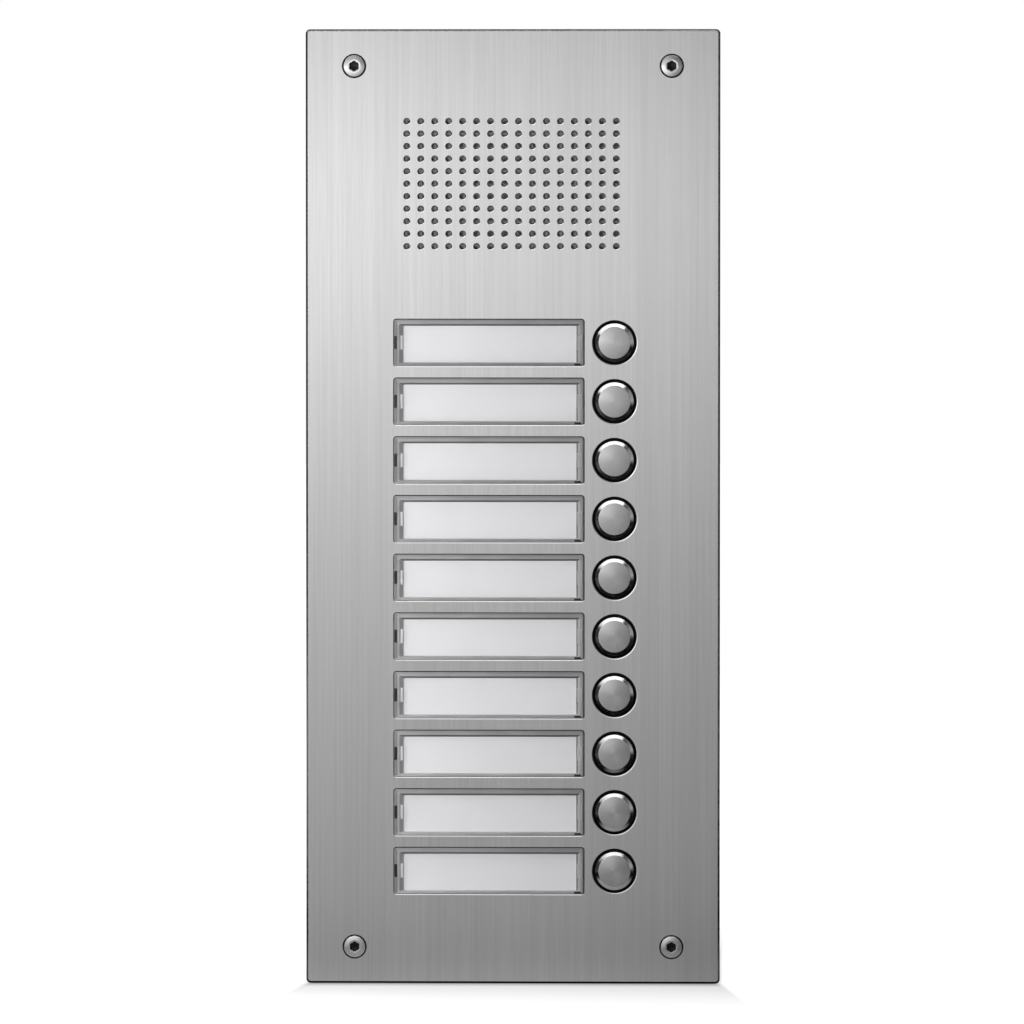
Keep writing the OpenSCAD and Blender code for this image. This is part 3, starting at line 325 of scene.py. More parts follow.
class Nodes:
    """A material's node tree, with short calls for what the materials share."""

    def __init__(self, name, colour, roughness, metallic=0.0, **sockets):
        self.material = bpy.data.materials.new(name)
        self.material.use_nodes = True
        self.tree = self.material.node_tree
        self.shader = self.tree.nodes["Principled BSDF"]
        self.shader.inputs["Base Color"].default_value = (*colour, 1)
        self.shader.inputs["Roughness"].default_value = roughness
        self.shader.inputs["Metallic"].default_value = metallic
        for socket, value in sockets.items():
            self.shader.inputs[socket.replace("_", " ")].default_value = value
        self.place = self.add("ShaderNodeTexCoord").outputs["Object"]

    def add(self, kind, **settings):
        node = self.tree.nodes.new(kind)
        for key, value in settings.items():
            setattr(node, key, value)
        return node

    def link(self, a, b):
        self.tree.links.new(a, b)

    def noise(self, scale, detail=2.0, roughness=0.5, offset=(0, 0, 0)):
        """Noise whose scale differs along x, y and z, in waves per metre."""
        mapping = self.add("ShaderNodeMapping")
        mapping.inputs["Scale"].default_value = scale
        mapping.inputs["Location"].default_value = offset
        self.link(self.place, mapping.inputs["Vector"])
        texture = self.add("ShaderNodeTexNoise")
        texture.inputs["Scale"].default_value = 1.0
        texture.inputs["Detail"].default_value = detail
        texture.inputs["Roughness"].default_value = roughness
        self.link(mapping.outputs["Vector"], texture.inputs["Vector"])
        return texture.outputs["Fac"]

    def ranged(self, value, low, high, start=0.3, end=0.7):
        """Maps start..end onto low..high."""
        node = self.add("ShaderNodeMapRange")
        node.inputs["From Min"].default_value = start
        node.inputs["From Max"].default_value = end
        node.inputs["To Min"].default_value = low
        node.inputs["To Max"].default_value = high
        self.link(value, node.inputs["Value"])
        return node.outputs["Result"]

    def math(self, operation, *values):
        return combine(self.tree, operation, *values)

    def shade(self, colour, factor):
        """The base colour, lightened or darkened by a factor that varies."""
        node = self.add("ShaderNodeVectorMath", operation="SCALE")
        node.inputs[0].default_value = colour
        self.link(factor, node.inputs["Scale"])
        self.link(node.outputs["Vector"], self.shader.inputs["Base Color"])

    def rough(self, value):
        self.link(value, self.shader.inputs["Roughness"])

    def bump(self, height, distance):
        node = self.add("ShaderNodeBump")
        node.inputs["Strength"].default_value = 1.0
        node.inputs["Distance"].default_value = distance
        self.link(height, node.inputs["Height"])
        self.link(node.outputs["Normal"], self.shader.inputs["Normal"])

    def tangent(self, direction):
        node = self.add("ShaderNodeCombineXYZ")
        for socket, value in zip(node.inputs, direction):
            socket.default_value = value
        self.link(node.outputs["Vector"], self.shader.inputs["Tangent"])


def brushed_steel():
    """Stainless sheet with hairlines that run up and down."""
    colour = (0.60, 0.60, 0.60)
    m = Nodes("brushed_steel", colour, 0.34, 1.0, Anisotropic=0.6)
    fine = m.noise((5200, 300, 34), detail=3, roughness=0.6)
    middle = m.noise((1300, 100, 11), detail=2, offset=(3, 0, 7))
    broad = m.noise((140, 20, 3.5), detail=2, offset=(9, 0, 2))
    streaks = m.math("MULTIPLY", m.ranged(fine, 0.95, 1.05), m.ranged(middle, 0.96, 1.04))
    m.shade(colour, m.math("MULTIPLY", streaks, m.ranged(broad, 0.97, 1.03)))
    m.rough(m.ranged(fine, 0.30, 0.38))
    m.bump(fine, 0.004 * MM)
    m.tangent((1, 0, 0))
    return m.material


def turned_steel(name="turned_steel", grey=0.56):
    """Satin turned steel, for the caps and the screws."""
    colour = (grey, grey, grey)
    m = Nodes(name, colour, 0.2, 1.0)
    cloud = m.noise((500, 500, 500), detail=3)
    m.shade(colour, m.ranged(cloud, 0.96, 1.04))
    m.rough(m.ranged(cloud, 0.17, 0.24))
    return m.material


def turned_face():
    """A turned face, whose fine rings smear what it mirrors into rays from the middle."""
    colour = (0.47, 0.47, 0.47)
    m = Nodes("turned_face", colour, 0.3, 1.0, Anisotropic=0.6, Anisotropic_Rotation=0.25)
    round_axis = m.add("ShaderNodeTangent", direction_type="RADIAL", axis="Y")
    m.link(round_axis.outputs["Tangent"], m.shader.inputs["Tangent"])
    cloud = m.noise((500, 500, 500), detail=3)
    m.shade(colour, m.ranged(cloud, 0.97, 1.03))
    m.rough(m.ranged(cloud, 0.27, 0.33))
    return m.material


def zinc_steel():
    """Zinc-plated sheet with a soft spangle."""
    colour = (0.52, 0.54, 0.56)
    m = Nodes("zinc_steel", colour, 0.4, 1.0)
    cells = m.add("ShaderNodeTexVoronoi")
    cells.inputs["Scale"].default_value = 260
    m.link(m.place, cells.inputs["Vector"])
    grey = m.add("ShaderNodeRGBToBW")
    m.link(cells.outputs["Color"], grey.inputs["Color"])
    cloud = m.noise((60, 60, 60), detail=3)
    tone = m.math("MULTIPLY", m.ranged(grey.outputs["Val"], 0.9, 1.08), m.ranged(cloud, 0.93, 1.05))
    m.shade(colour, tone)
    m.rough(m.ranged(grey.outputs["Val"], 0.34, 0.5))
    m.bump(cloud, 0.02 * MM)
    return m.material


def spring_steel():
    """Drawn spring wire, a little stained."""
    colour = (0.5, 0.5, 0.5)
    m = Nodes("spring_steel", colour, 0.25, 1.0)
    drawn = m.noise((900, 900, 900), detail=2)
    m.shade(colour, m.ranged(drawn, 0.85, 1.1))
    m.rough(m.ranged(drawn, 0.2, 0.35))
    return m.material


def moulded(name, colour, roughness, grain=0.012, **sockets):
    """A moulded plastic or rubber with a fine spark-eroded grain."""
    m = Nodes(name, colour, roughness, 0.0, **sockets)
    fine = m.noise((2600, 2600, 2600), detail=2)
    broad = m.noise((90, 90, 90), detail=2)
    m.shade(colour, m.ranged(broad, 0.92, 1.08))
    m.rough(m.ranged(fine, roughness * 0.9, roughness * 1.12))
    m.bump(fine, grain * MM)
    return m.material


def clear_pane():
    """Clear acrylic with a trace of haze."""
    m = Nodes("clear_pane", (1, 1, 1), 0.03, 0.0, Transmission_Weight=1.0, IOR=1.49)
    haze = m.noise((60, 60, 60), detail=2)
    m.rough(m.ranged(haze, 0.02, 0.05))
    return m.material


def paper_card():
    """Plain card with a faint fibre, and painted shade close to the frame that stands over it."""
    colour = (0.80, 0.797, 0.82)
    m = Nodes("card", colour, 0.6)
    fibre = m.noise((1800, 1800, 1800), detail=4, roughness=0.7)
    cloud = m.noise((70, 70, 70), detail=2)
    # Ambient occlusion darkens the card near the frame: painted shade.
    depth = m.add("ShaderNodeAmbientOcclusion", samples=8)
    depth.inputs["Distance"].default_value = 1.7 * MM
    tone = m.math("MULTIPLY", m.ranged(fibre, 0.985, 1.01), m.ranged(cloud, 0.99, 1.01))
    m.shade(colour, m.math("MULTIPLY", tone, m.ranged(depth.outputs["AO"], 0.7, 1.0, 0.5, 1.0)))
    m.bump(fibre, 0.01 * MM)
    return m.material


def woven_mesh():
    """Insect screen of dark wire, with painted shade towards the rim of the hole it is seen
    through.
    """
    colour = (0.22, 0.22, 0.22)
    m = Nodes("woven_mesh", colour, 0.55, 1.0)
    waves = []
    for axis in "XZ":
        wave = m.add("ShaderNodeTexWave", bands_direction=axis)
        # Bands 2.5 mm apart: at scale 1 they are a tenth of pi metres apart.
        wave.inputs["Scale"].default_value = 125
        m.link(m.place, wave.inputs["Vector"])
        waves.append(wave.outputs["Fac"])
    weave = m.math("MAXIMUM", *waves)
    # Ambient occlusion darkens the wire near the hole's walls: painted shade.
    depth = m.add("ShaderNodeAmbientOcclusion", samples=16)
    depth.inputs["Distance"].default_value = 8 * MM
    deep = m.ranged(depth.outputs["AO"], 0.02, 1.2, 0.09, 0.25)
    m.shade(colour, m.math("MULTIPLY", m.ranged(weave, 0.5, 1.5, 0.2, 0.9), deep))
    m.bump(weave, 0.1 * MM)
    return m.material


def pressed_paper():
    """Black pulp, for the loudspeaker's cone."""
    colour = (0.03, 0.03, 0.03)
    m = Nodes("paper_cone", colour, 0.75)
    fibre = m.noise((900, 900, 900), detail=4, roughness=0.7)
    m.shade(colour, m.ranged(fibre, 0.6, 1.5))
    m.bump(fibre, 0.05 * MM)
    return m.material


def solder_mask():
    """Green board with the faint relief of its tracks."""
    colour = (0.015, 0.12, 0.05)
    m = Nodes("solder_mask", colour, 0.32, Coat_Weight=0.3)
    tracks = m.add("ShaderNodeTexBrick", offset=0.0)
    tracks.inputs["Scale"].default_value = 160
    tracks.inputs["Mortar Size"].default_value = 0.08
    mapping = m.add("ShaderNodeMapping")
    mapping.inputs["Rotation"].default_value = (math.radians(90), 0, 0)
    m.link(m.place, mapping.inputs["Vector"])
    m.link(mapping.outputs["Vector"], tracks.inputs["Vector"])
    m.shade(colour, m.ranged(tracks.outputs["Fac"], 1.0, 1.6, 0, 1))
    m.bump(tracks.outputs["Fac"], 0.03 * MM)
    return m.material


def brass():
    """Turned brass, slightly tarnished."""
    colour = (0.72, 0.52, 0.22)
    m = Nodes("brass", colour, 0.28, 1.0)
    cloud = m.noise((700, 700, 700), detail=3)
    m.shade(colour, m.ranged(cloud, 0.85, 1.08))
    m.rough(m.ranged(cloud, 0.22, 0.36))
    return m.material


FINISH = {
    "brushed_steel": brushed_steel(),
    "turned_steel": turned_steel(),
    "zinc_steel": zinc_steel(),
    "spring_steel": spring_steel(),
    "black_plastic": moulded("black_plastic", (0.018, 0.018, 0.02), 0.45),
    "grey_plastic": moulded("grey_plastic", (0.12, 0.125, 0.13), 0.42),
    "clear_plastic": moulded("clear_plastic", (0.33, 0.33, 0.335), 0.16, grain=0.003),
    "white_plastic": moulded("white_plastic", (0.8, 0.81, 0.82), 0.3, Subsurface_Weight=0.2),
    "card": paper_card(),
    "rubber": moulded("rubber", (0.025, 0.025, 0.025), 0.62, grain=0.03),
    "paper": pressed_paper(),
    "mesh": woven_mesh(),
    "board": solder_mask(),
    "brass": brass(),
}
CUT_EDGE = turned_steel("cut_edge", 0.62)
# Near-black steel: painted shade in the screws' drive recesses and on the caps' flanks inside the
# gap.
PAINTED_SHADE_STEEL = turned_steel("recess", 0.02)
# Dark steel for the countersinks' cones: painted shade in the gap round each screw head.
SINK_PAINTED_SHADE = turned_steel("sink_painted_shade", 0.1)
SCREW = turned_steel("screw_steel", 0.57)
CAP_FACE = turned_face()
# Brighter steel on the cap's face edge: a painted highlight.
CAP_EDGE_HIGHLIGHT = turned_steel("cap_edge_painted_highlight", 0.75)
COLLAR = moulded("collar_black", (0.006, 0.006, 0.006), 0.5, Specular_IOR_Level=0.06)
PANE = clear_pane()
# Lit and shaded copies of one clear moulding: painted light and shade for the cover's bands, with a
# painted highlight in the bright one.
COVER_PAINTED_TONES = {
    "dark": moulded("cover_painted_dark", (0.06, 0.06, 0.06), 0.2, grain=0.003),
    "dim": moulded("cover_painted_dim", (0.22, 0.22, 0.222), 0.16, grain=0.003),
    "soft": moulded("cover_painted_soft", (0.4, 0.4, 0.403), 0.16, grain=0.003),
    "mid": moulded("cover_mid", (0.33, 0.33, 0.333), 0.16, grain=0.003),
    "pale": moulded("cover_painted_pale", (0.46, 0.46, 0.464), 0.16, grain=0.003),
    "light": moulded("cover_painted_light", (0.62, 0.62, 0.626), 0.16, grain=0.003),
    "bright": moulded("cover_painted_bright", (0.9, 0.9, 0.9), 0.2, grain=0.003),
}


def dress_nodes():
    """Gives each carried-over CAD node the finish of its slot."""
    for part in frame["record"]["subparts"]:
        for slot in frame["nodes"][part["node"]].material_slots:
            slot.material = FINISH[part["material_slot"]]


# ---- Faceplate ----

def faceplate():
    """The brushed sheet with its sound holes, openings, button holes and countersinks."""
    low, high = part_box("faceplate")
    front, back = low[1], high[1]
    width, height = high[0] - low[0], high[2] - low[2]
    bm = bmesh.new()
    edge = fillet([(2 * PLATE_EDGE, 0, 0), (PLATE_EDGE, 0, 0.2 * MM), (0, PLATE_EDGE, 0.2 * MM),
                   (0, back - front, 0)])[1:]
    outer = [(rounded(width - 2 * inset, height - 2 * inset, PLATE_CORNER_R - inset), front + depth)
             for inset, depth in edge]
    rims = [tunnel(bm, outer, 1)]

    for i in ROWS:
        cover_low, cover_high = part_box(numbered("name_window", i))
        size = [cover_high[k] - cover_low[k] + 2 * WINDOW_GAP for k in (0, 2)]
        at = centre_of(numbered("name_window", i))
        rims.append(opening(bm, front, back, lambda g: rounded(
            size[0] + 2 * g, size[1] + 2 * g, WINDOW_CORNER_R + g, at), WINDOW_BREAK))
        at = centre_of(numbered("call_button", i))
        rims.append(opening(bm, front, back, lambda g: ring(BUTTON_HOLE_R + g, at, 96),
                            steps=ROLLED_EDGE))

    low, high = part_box("grille_screen")
    first = [low[k] + SCREEN_MARGIN + HOLE_R for k in (0, 2)]
    last = [high[k] - SCREEN_MARGIN - HOLE_R for k in (0, 2)]
    for i in range(HOLE_COLS):
        for j in range(HOLE_ROWS):
            at = (first[0] + (last[0] - first[0]) * i / (HOLE_COLS - 1),
                  first[1] + (last[1] - first[1]) * j / (HOLE_ROWS - 1))
            rims.append(opening(bm, front, back, lambda g: ring(HOLE_R + g, at, 28), BREAK / 2))

    for at in screw_places():
        sink_depth = SINK_R - SINK_BORE_R
        # Countersink cone in dark steel: painted shade round the screw head.
        rims.append(tunnel(bm, [
            (ring(SINK_R, at), front), (ring(SINK_BORE_R, at), front + sink_depth),
            (ring(SINK_BORE_R, at), back)], 2))
    fill(bm, rims[0][0], [rim[0] for rim in rims[1:]])
    fill(bm, rims[0][1], [rim[1] for rim in rims[1:]])
    piece(bm, "brushed_faceplate", "root", [FINISH["brushed_steel"], CUT_EDGE, SINK_PAINTED_SHADE],
          ["faceplate"])


def opening(bm, front, back, grown, edge=BREAK, steps=BROKEN_EDGE):
    """A hole through the plate; its edge is broken, more so at the lower right."""
    rings = [(grown(out * edge), front + deep * edge) for out, deep in steps]
    wide = [(x + 0.25 * edge, z - 0.4 * edge) for x, z in rings[0][0]]
    mouth, neck = tunnel(bm, [(wide, front), *rings[1:]], 1)
    end = loop(bm, grown(0), back)
    bridge(bm, neck, end)
    return mouth, end


def screw_places():
    """The middles of the four plate screws."""
    low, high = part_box("plate_screws")
    r = SCREW_HEAD_R
    return [(x, z) for x in (low[0] + r, high[0] - r) for z in (low[2] + r, high[2] - r)]


# ---- Screws, buttons and springs ----

def lobes(radius, centre, count=72):
    """The six-lobe outline of a screw's drive, with one lobe straight up."""
    outline = []
    for i in range(count):
        a = 2 * math.pi * i / count
        r = radius * (0.84 + 0.16 * math.sqrt(abs(math.sin(3 * a))))
        outline.append((centre[0] + r * math.cos(a), centre[1] + r * math.sin(a)))
    return outline


def plate_screws():
    """Raised countersunk screws: domed face, six-lobe recess, cone and thread."""
    low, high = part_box("plate_screws")
    top, tip = low[1], high[1]
    rim = top + SCREW_DOME
    face = dome(SCREW_FACE_R, SCREW_FACE_DOME, top)
    shoulder = (SCREW_FACE_R + 0.25 * MM, face[-1][1] + 0.05 * MM, 0.3 * MM)
    head = face[:-1] + fillet([(*face[-1], 0), shoulder, (SCREW_HEAD_R, rim, 0)], 8)
    bm = bmesh.new()
    for at in screw_places():
        # From the recess's floor up its wall and over its mouth, then across the head,
        # down the cone, along the thread and to the tip.
        rings = [(lobes(SCREW_RECESS_R * 0.94, at), top + SCREW_RECESS_DEPTH),
                 (lobes(SCREW_RECESS_R, at), top + 0.3 * MM),
                 (lobes(SCREW_RECESS_R + 0.07 * MM, at), top + 0.17 * MM)]
        rings += [(ring(r, at, 72), y) for r, y in head if r > SCREW_RECESS_R + 0.3 * MM]
        rings += [(ring(SCREW_HEAD_R, at, 72), rim + 0.05 * MM),
                  (ring(SCREW_R, at, 72), rim + SCREW_HEAD_R - SCREW_R)]
        threads = int((tip - rim - SCREW_HEAD_R + SCREW_R) / SCREW_PITCH) - 1
        start = tip - threads * SCREW_PITCH - SCREW_TIP
        for k in range(threads):
            y = start + k * SCREW_PITCH
            rings += [(ring(SCREW_ROOT_R, at, 72), y),
                      (ring(SCREW_R, at, 72), y + SCREW_PITCH / 2)]
        rings += [(ring(SCREW_ROOT_R, at, 72), tip - SCREW_TIP),
                  (ring(SCREW_TIP_R, at, 72), tip)]
        # The recess gets the near-black steel as painted shade.
        floor_loop, mouth = tunnel(bm, rings[:2], 1)
        middle = bm.verts.new((at[0], top + SCREW_RECESS_DEPTH + 0.3 * MM, at[1]))
        fan(bm, [middle], floor_loop, 1)
        first, last = tunnel(bm, rings[2:])
        bridge(bm, mouth, first, 1)
        bm.faces.new(last)
    piece(bm, "raised_screws", "root", [SCREW, PAINTED_SHADE_STEEL], ["plate_screws"])


def cap(i):
    """A turned cap: shallow dome, bevel, flange behind the collar, spring seat and stem."""
    node = numbered("call_button", i)
    low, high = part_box(node)
    front, stem_end = low[1], high[1]
    flange_r = (high[0] - low[0]) / 2
    flange_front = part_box("button_collars")[1][1] + 0.05 * MM
    flange_back = flange_front + CAP_FLANGE_T
    seat = flange_back - CAP_SEAT_DEPTH
    face_edge = front + CAP_DOME
    profile = dome(CAP_FACE_R, CAP_DOME, front)[:-1]
    # Two more points hold the bevel flat between its rounded edges.
    bevel = [(CAP_FACE_R + t * (CAP_R - CAP_FACE_R), face_edge + t * CAP_BEVEL)
             for t in (0.1, 0.96)]
    profile += fillet([
        (*profile[-1], 0), (CAP_FACE_R, face_edge, 0.2 * MM),
        (*bevel[0], 0), (*bevel[1], 0),
        (CAP_R, face_edge + CAP_BEVEL, 0.04 * MM), (CAP_R, flange_front, 0),
        (flange_r, flange_front, 0.1 * MM), (flange_r, flange_back, 0.1 * MM),
        (CAP_SEAT_R, flange_back, 0.1 * MM), (CAP_SEAT_R, seat, 0), (STEM_R, seat, 0),
        (STEM_R, stem_end, 0.3 * MM), (0, stem_end, 0)])[1:]
    bm = bmesh.new()
    lathe(bm, profile, centre_of(node))
    # Slot 1 is the face, 2 its edge in brighter steel as a painted highlight, 3 the flank that the
    # gap round the cap shows, in near-black steel as painted shade, 0 the rest.
    for face in bm.faces:
        at = face.calc_center_median().y
        if at < face_edge - 0.03 * MM:
            face.material_index = 1
        elif at < face_edge + 0.1 * MM:
            face.material_index = 2
        elif at > face_edge + CAP_BEVEL + 0.5 * MM:
            face.material_index = 3
    piece(bm, numbered("button_cap", i), numbered("button", i),
          [FINISH["turned_steel"], CAP_FACE, CAP_EDGE_HIGHLIGHT, PAINTED_SHADE_STEEL], [node], sharp=50)


def collars():
    """The black collars that the caps slide in, as one piece."""
    low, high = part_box("button_collars")
    front, back = low[1], high[1]
    plate_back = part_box("faceplate")[1][1]
    flange_r = (high[0] - low[0]) / 2
    profile = fillet([
        (COLLAR_BORE_R, back, 0), (COLLAR_BORE_R, front, 0.25 * MM), (COLLAR_R, front, 0.15 * MM),
        (COLLAR_R, plate_back, 0), (flange_r, plate_back, 0.15 * MM), (flange_r, back, 0)])
    bm = bmesh.new()
    for i in ROWS:
        lathe(bm, profile, centre_of(numbered("call_button", i)), closed=True)
    piece(bm, "turned_collars", "root", [COLLAR], ["button_collars"], sharp=50)


def spring(i):
    """A round-wire compression spring with closed ends."""
    node = numbered("return_spring", i)
    low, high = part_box(node)
    at = centre_of(numbered("call_button", i))
    start, end = low[1] + SPRING_WIRE / 2, high[1] - SPRING_WIRE / 2
    steps, sides = round(SPRING_TURNS * 24), 10
    flat = 0.3 / SPRING_TURNS
    bm = bmesh.new()
    rings = []
    for k in range(steps + 1):
        t = k / steps
        a = 2 * math.pi * SPRING_TURNS * t
        y = start + (end - start) * min(1, max(0, (t - flat) / (1 - 2 * flat)))
        section = []
        for s in range(sides):
            b = 2 * math.pi * s / sides
            r = SPRING_R + SPRING_WIRE / 2 * math.cos(b)
            section.append(bm.verts.new((at[0] + r * math.cos(a), y + SPRING_WIRE / 2 * math.sin(b),
                                         at[1] + r * math.sin(a))))
        rings.append(section)
    for a, b in zip(rings, rings[1:]):
        bridge(bm, a, b)
    bm.faces.new(rings[0])
    bm.faces.new(rings[-1])
    wire = piece(bm, numbered("coil", i), "root", [FINISH["spring_steel"]], [node])
    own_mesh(wire)


# ---- Name window covers ----

def cover_outline(edges, insets, radius):
    """A cover's outline at an inset from each side, with points at the tongue, notch and foot."""
    left, right = edges[0] + insets[0] * MM, edges[1] - insets[1] * MM
    top, bottom = edges[2] - insets[2] * MM, edges[3] + insets[3] * MM
    z = (edges[2] + edges[3]) / 2

    def corner(x, sx, y, sz, start):
        turn = [math.radians(start + 15 * k) for k in range(7)]
        return [(x - sx * radius + radius * math.cos(a), y - sz * radius + radius * math.sin(a))
                for a in turn]

    return [(right, z - TONGUE_H / 2), (right, z + TONGUE_H / 2), *corner(right, 1, top, 1, 0),
            *corner(left, -1, top, 1, 90), (left, z + NOTCH_H / 2), (left, z - NOTCH_H / 2),
            *corner(left, -1, bottom, -1, 180), (edges[1] - PAINTED_SHADE_FOOT, bottom),
            *corner(right, 1, bottom, -1, 270)]


def cover_side(edges, insets, x, z):
    """Which side of the cover a point belongs to: 0 left, 1 right, 2 top or 3 bottom."""
    reach = [x - edges[0] - insets[0] * MM, edges[1] - insets[1] * MM - x,
             edges[2] - insets[2] * MM - z, z - edges[3] - insets[3] * MM]
    return reach.index(min(reach))


def window(i):
    """A clear cover: a stepped frame toned with painted light and shade, with its notch, ridges and
    legs, round a flat pane.
    """
    node = numbered("name_window", i)
    low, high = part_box(node)
    front, back = low[1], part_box("faceplate")[1][1]
    gap = WINDOW_GAP
    edges = (low[0] - gap, high[0] + gap, high[2] + gap, low[2] - gap)
    z = (edges[2] + edges[3]) / 2
    pane_depth, insets, _ = COVER_STEPS[-1]
    pane_front = front + pane_depth * MM
    painted_tones = list(COVER_PAINTED_TONES)
    bm = bmesh.new()
    loops = [loop(bm, cover_outline(edges, COVER_STEPS[0][1], COVER_RADII[0]), back)]
    for (depth, step_insets, _), radius in zip(COVER_STEPS, COVER_RADII):
        loops.append(loop(bm, cover_outline(edges, step_insets, radius), front + depth * MM))
    loops.append(loop(bm, cover_outline(edges, insets, COVER_RADII[-1]), back))
    # Painted shade on the outer wall in the gap, and a pale painted tone on the wall down to the
    # pane.
    bridge(bm, loops[0], loops[1], painted_tones.index("dark"))
    for step in range(len(COVER_STEPS) - 1):
        band(bm, loops[step + 1], loops[step + 2], edges, step)
    bridge(bm, loops[-2], loops[-1], painted_tones.index("pale"))
    bridge(bm, loops[-1], loops[0], painted_tones.index("mid"))
    # The two ridges are painted bright: a painted highlight.
    for x, width in ((edges[0] + RIDGE_INSET, RIDGE_W),
                     (edges[1] - TONGUE_INSET - TONGUE_W, TONGUE_W)):
        block(bm, (width, RIDGE_H), (x + width / 2, z), front + 0.05 * MM, pane_front,
              0.08 * MM, painted_tones.index("bright"))
    leg_x = (high[0] - low[0]) / 2 - LEG_INSET
    middle = (low[0] + high[0]) / 2
    for side, up, height in LEGS:
        block(bm, (LEG_W, height), (middle + side * leg_x, z + up), high[1], back,
              0.3 * MM, painted_tones.index("mid"))
    frame_piece = piece(bm, numbered("window_frame", i), numbered("window", i),
                        list(COVER_PAINTED_TONES.values()), [node], sharp=8)

    left, right = edges[0] + insets[0] * MM, edges[1] - insets[1] * MM
    top, bottom = edges[2] - insets[2] * MM, edges[3] + insets[3] * MM
    outline = rounded(right - left - PANE_GAP, top - bottom - PANE_GAP, COVER_RADII[-1],
                      ((left + right) / 2, (top + bottom) / 2))
    bm = bmesh.new()
    near, far = tunnel(bm, [(outline, pane_front), (outline, back - PANE_GAP)])
    bm.faces.new(near)
    bm.faces.new(far)
    pane = piece(bm, numbered("window_pane", i), numbered("window", i), [PANE])
    # A clear moulding dims the card behind it very little.
    for part in (frame_piece, pane):
        part.visible_shadow = False


def band(bm, outer, inner, edges, step):
    """One band of a cover's frame, toned side by side with painted light and shade, with the notch
    sunk into it.
    """
    _, insets, sides = COVER_STEPS[step]
    deeper = COVER_STEPS[step + 1][1]
    between = [(a + b) / 2 for a, b in zip(insets, deeper)]
    z_mid = (edges[2] + edges[3]) / 2
    painted_tones = list(COVER_PAINTED_TONES)
    for i in range(len(outer)):
        j = (i + 1) % len(outer)
        face = bm.faces.new((outer[i], outer[j], inner[j], inner[i]))
        at = face.calc_center_median()
        side = cover_side(edges, between, at.x, at.z)
        tone = sides[side]
        # Painted tones across the tongue.
        if side == 1 and abs(at.z - z_mid) < TONGUE_H / 2 and step:
            tone = "mid" if step == 1 else "light"
        # Painted shade at the right end of the bottom band.
        if side == 3 and at.x > edges[1] - PAINTED_SHADE_FOOT and step in (1, 2):
            tone = "dark"
        face.material_index = painted_tones.index(tone)
        # The sunk notch is painted dark: painted shade.
        if step == 1 and side == 0 and abs(at.z - z_mid) < NOTCH_H / 2 - 0.5 * MM:
            face.material_index = painted_tones.index("dark")
            sunk = bmesh.ops.extrude_discrete_faces(bm, faces=[face])["faces"]
            bmesh.ops.translate(bm, verts=sunk[0].verts, vec=(0, NOTCH_DEPTH, 0))


# ---- Studio ----

# The room of cards that the steel mirrors, in metres.
WALL_Y = -0.6                 # the wall in front of the faceplate
WALL_FOOT, WALL_TOP = -0.17, 0.5
LEFT_X, RIGHT_X = -1.3, 0.9
CEILING_Z = 0.75
BACK_Y = 0.6
APRON_BACK = 0.05             # where the mirrored floor ends, behind the faceplate
STRIP_Y = (-0.33, -0.1)       # the bright strip in the ceiling, front to back
STRIP_END_X = 0.52
SIDE_STRIP_Y = (-0.32, -0.13)    # the bright strip in the right side


def emitter(name, strength=1.0):
    """An emission material for a card of the studio, its node tree and its shader."""
    mat = bpy.data.materials.new(name)
    mat.use_nodes = True
    tree = mat.node_tree
    tree.nodes.clear()
    out = tree.nodes.new("ShaderNodeOutputMaterial")
    glow = tree.nodes.new("ShaderNodeEmission")
    glow.inputs["Strength"].default_value = strength
    tree.links.new(glow.outputs["Emission"], out.inputs["Surface"])
    return mat, tree, glow


def card(name, corners, mat, camera=False):
    """A flat studio card that neither the camera nor diffuse light sees, unless camera is set."""
    mesh = bpy.data.meshes.new(name)
    mesh.from_pydata(corners, [], [(0, 1, 2, 3)])
    mesh.materials.append(mat)
    obj = bpy.data.objects.new(name, mesh)
    bpy.context.scene.collection.objects.link(obj)
    obj.visible_camera = camera
    obj.visible_diffuse = camera
    obj.visible_shadow = False
    return obj


def ramp(tree, value, stops):
    """A level that follows stops, a list of (place, level), along a coordinate in metres."""
    first, last = stops[0][0], stops[-1][0]
    spread = tree.nodes.new("ShaderNodeMapRange")
    spread.inputs["From Min"].default_value = first
    spread.inputs["From Max"].default_value = last
    tree.links.new(value, spread.inputs["Value"])
    levels = tree.nodes.new("ShaderNodeValToRGB")
    tree.links.new(spread.outputs["Result"], levels.inputs["Fac"])
    elements = levels.color_ramp.elements
    for place, _ in stops[1:-1]:
        elements.new((place - first) / (last - first))
    for element, (_, level) in zip(elements, stops):
        element.color = (level, level, level, 1)
    return levels.outputs["Color"]


def coordinates(tree):
    """The x, y and z of the shaded point, in metres."""
    place = tree.nodes.new("ShaderNodeTexCoord").outputs["Object"]
    split = tree.nodes.new("ShaderNodeSeparateXYZ")
    tree.links.new(place, split.inputs["Vector"])
    return split.outputs


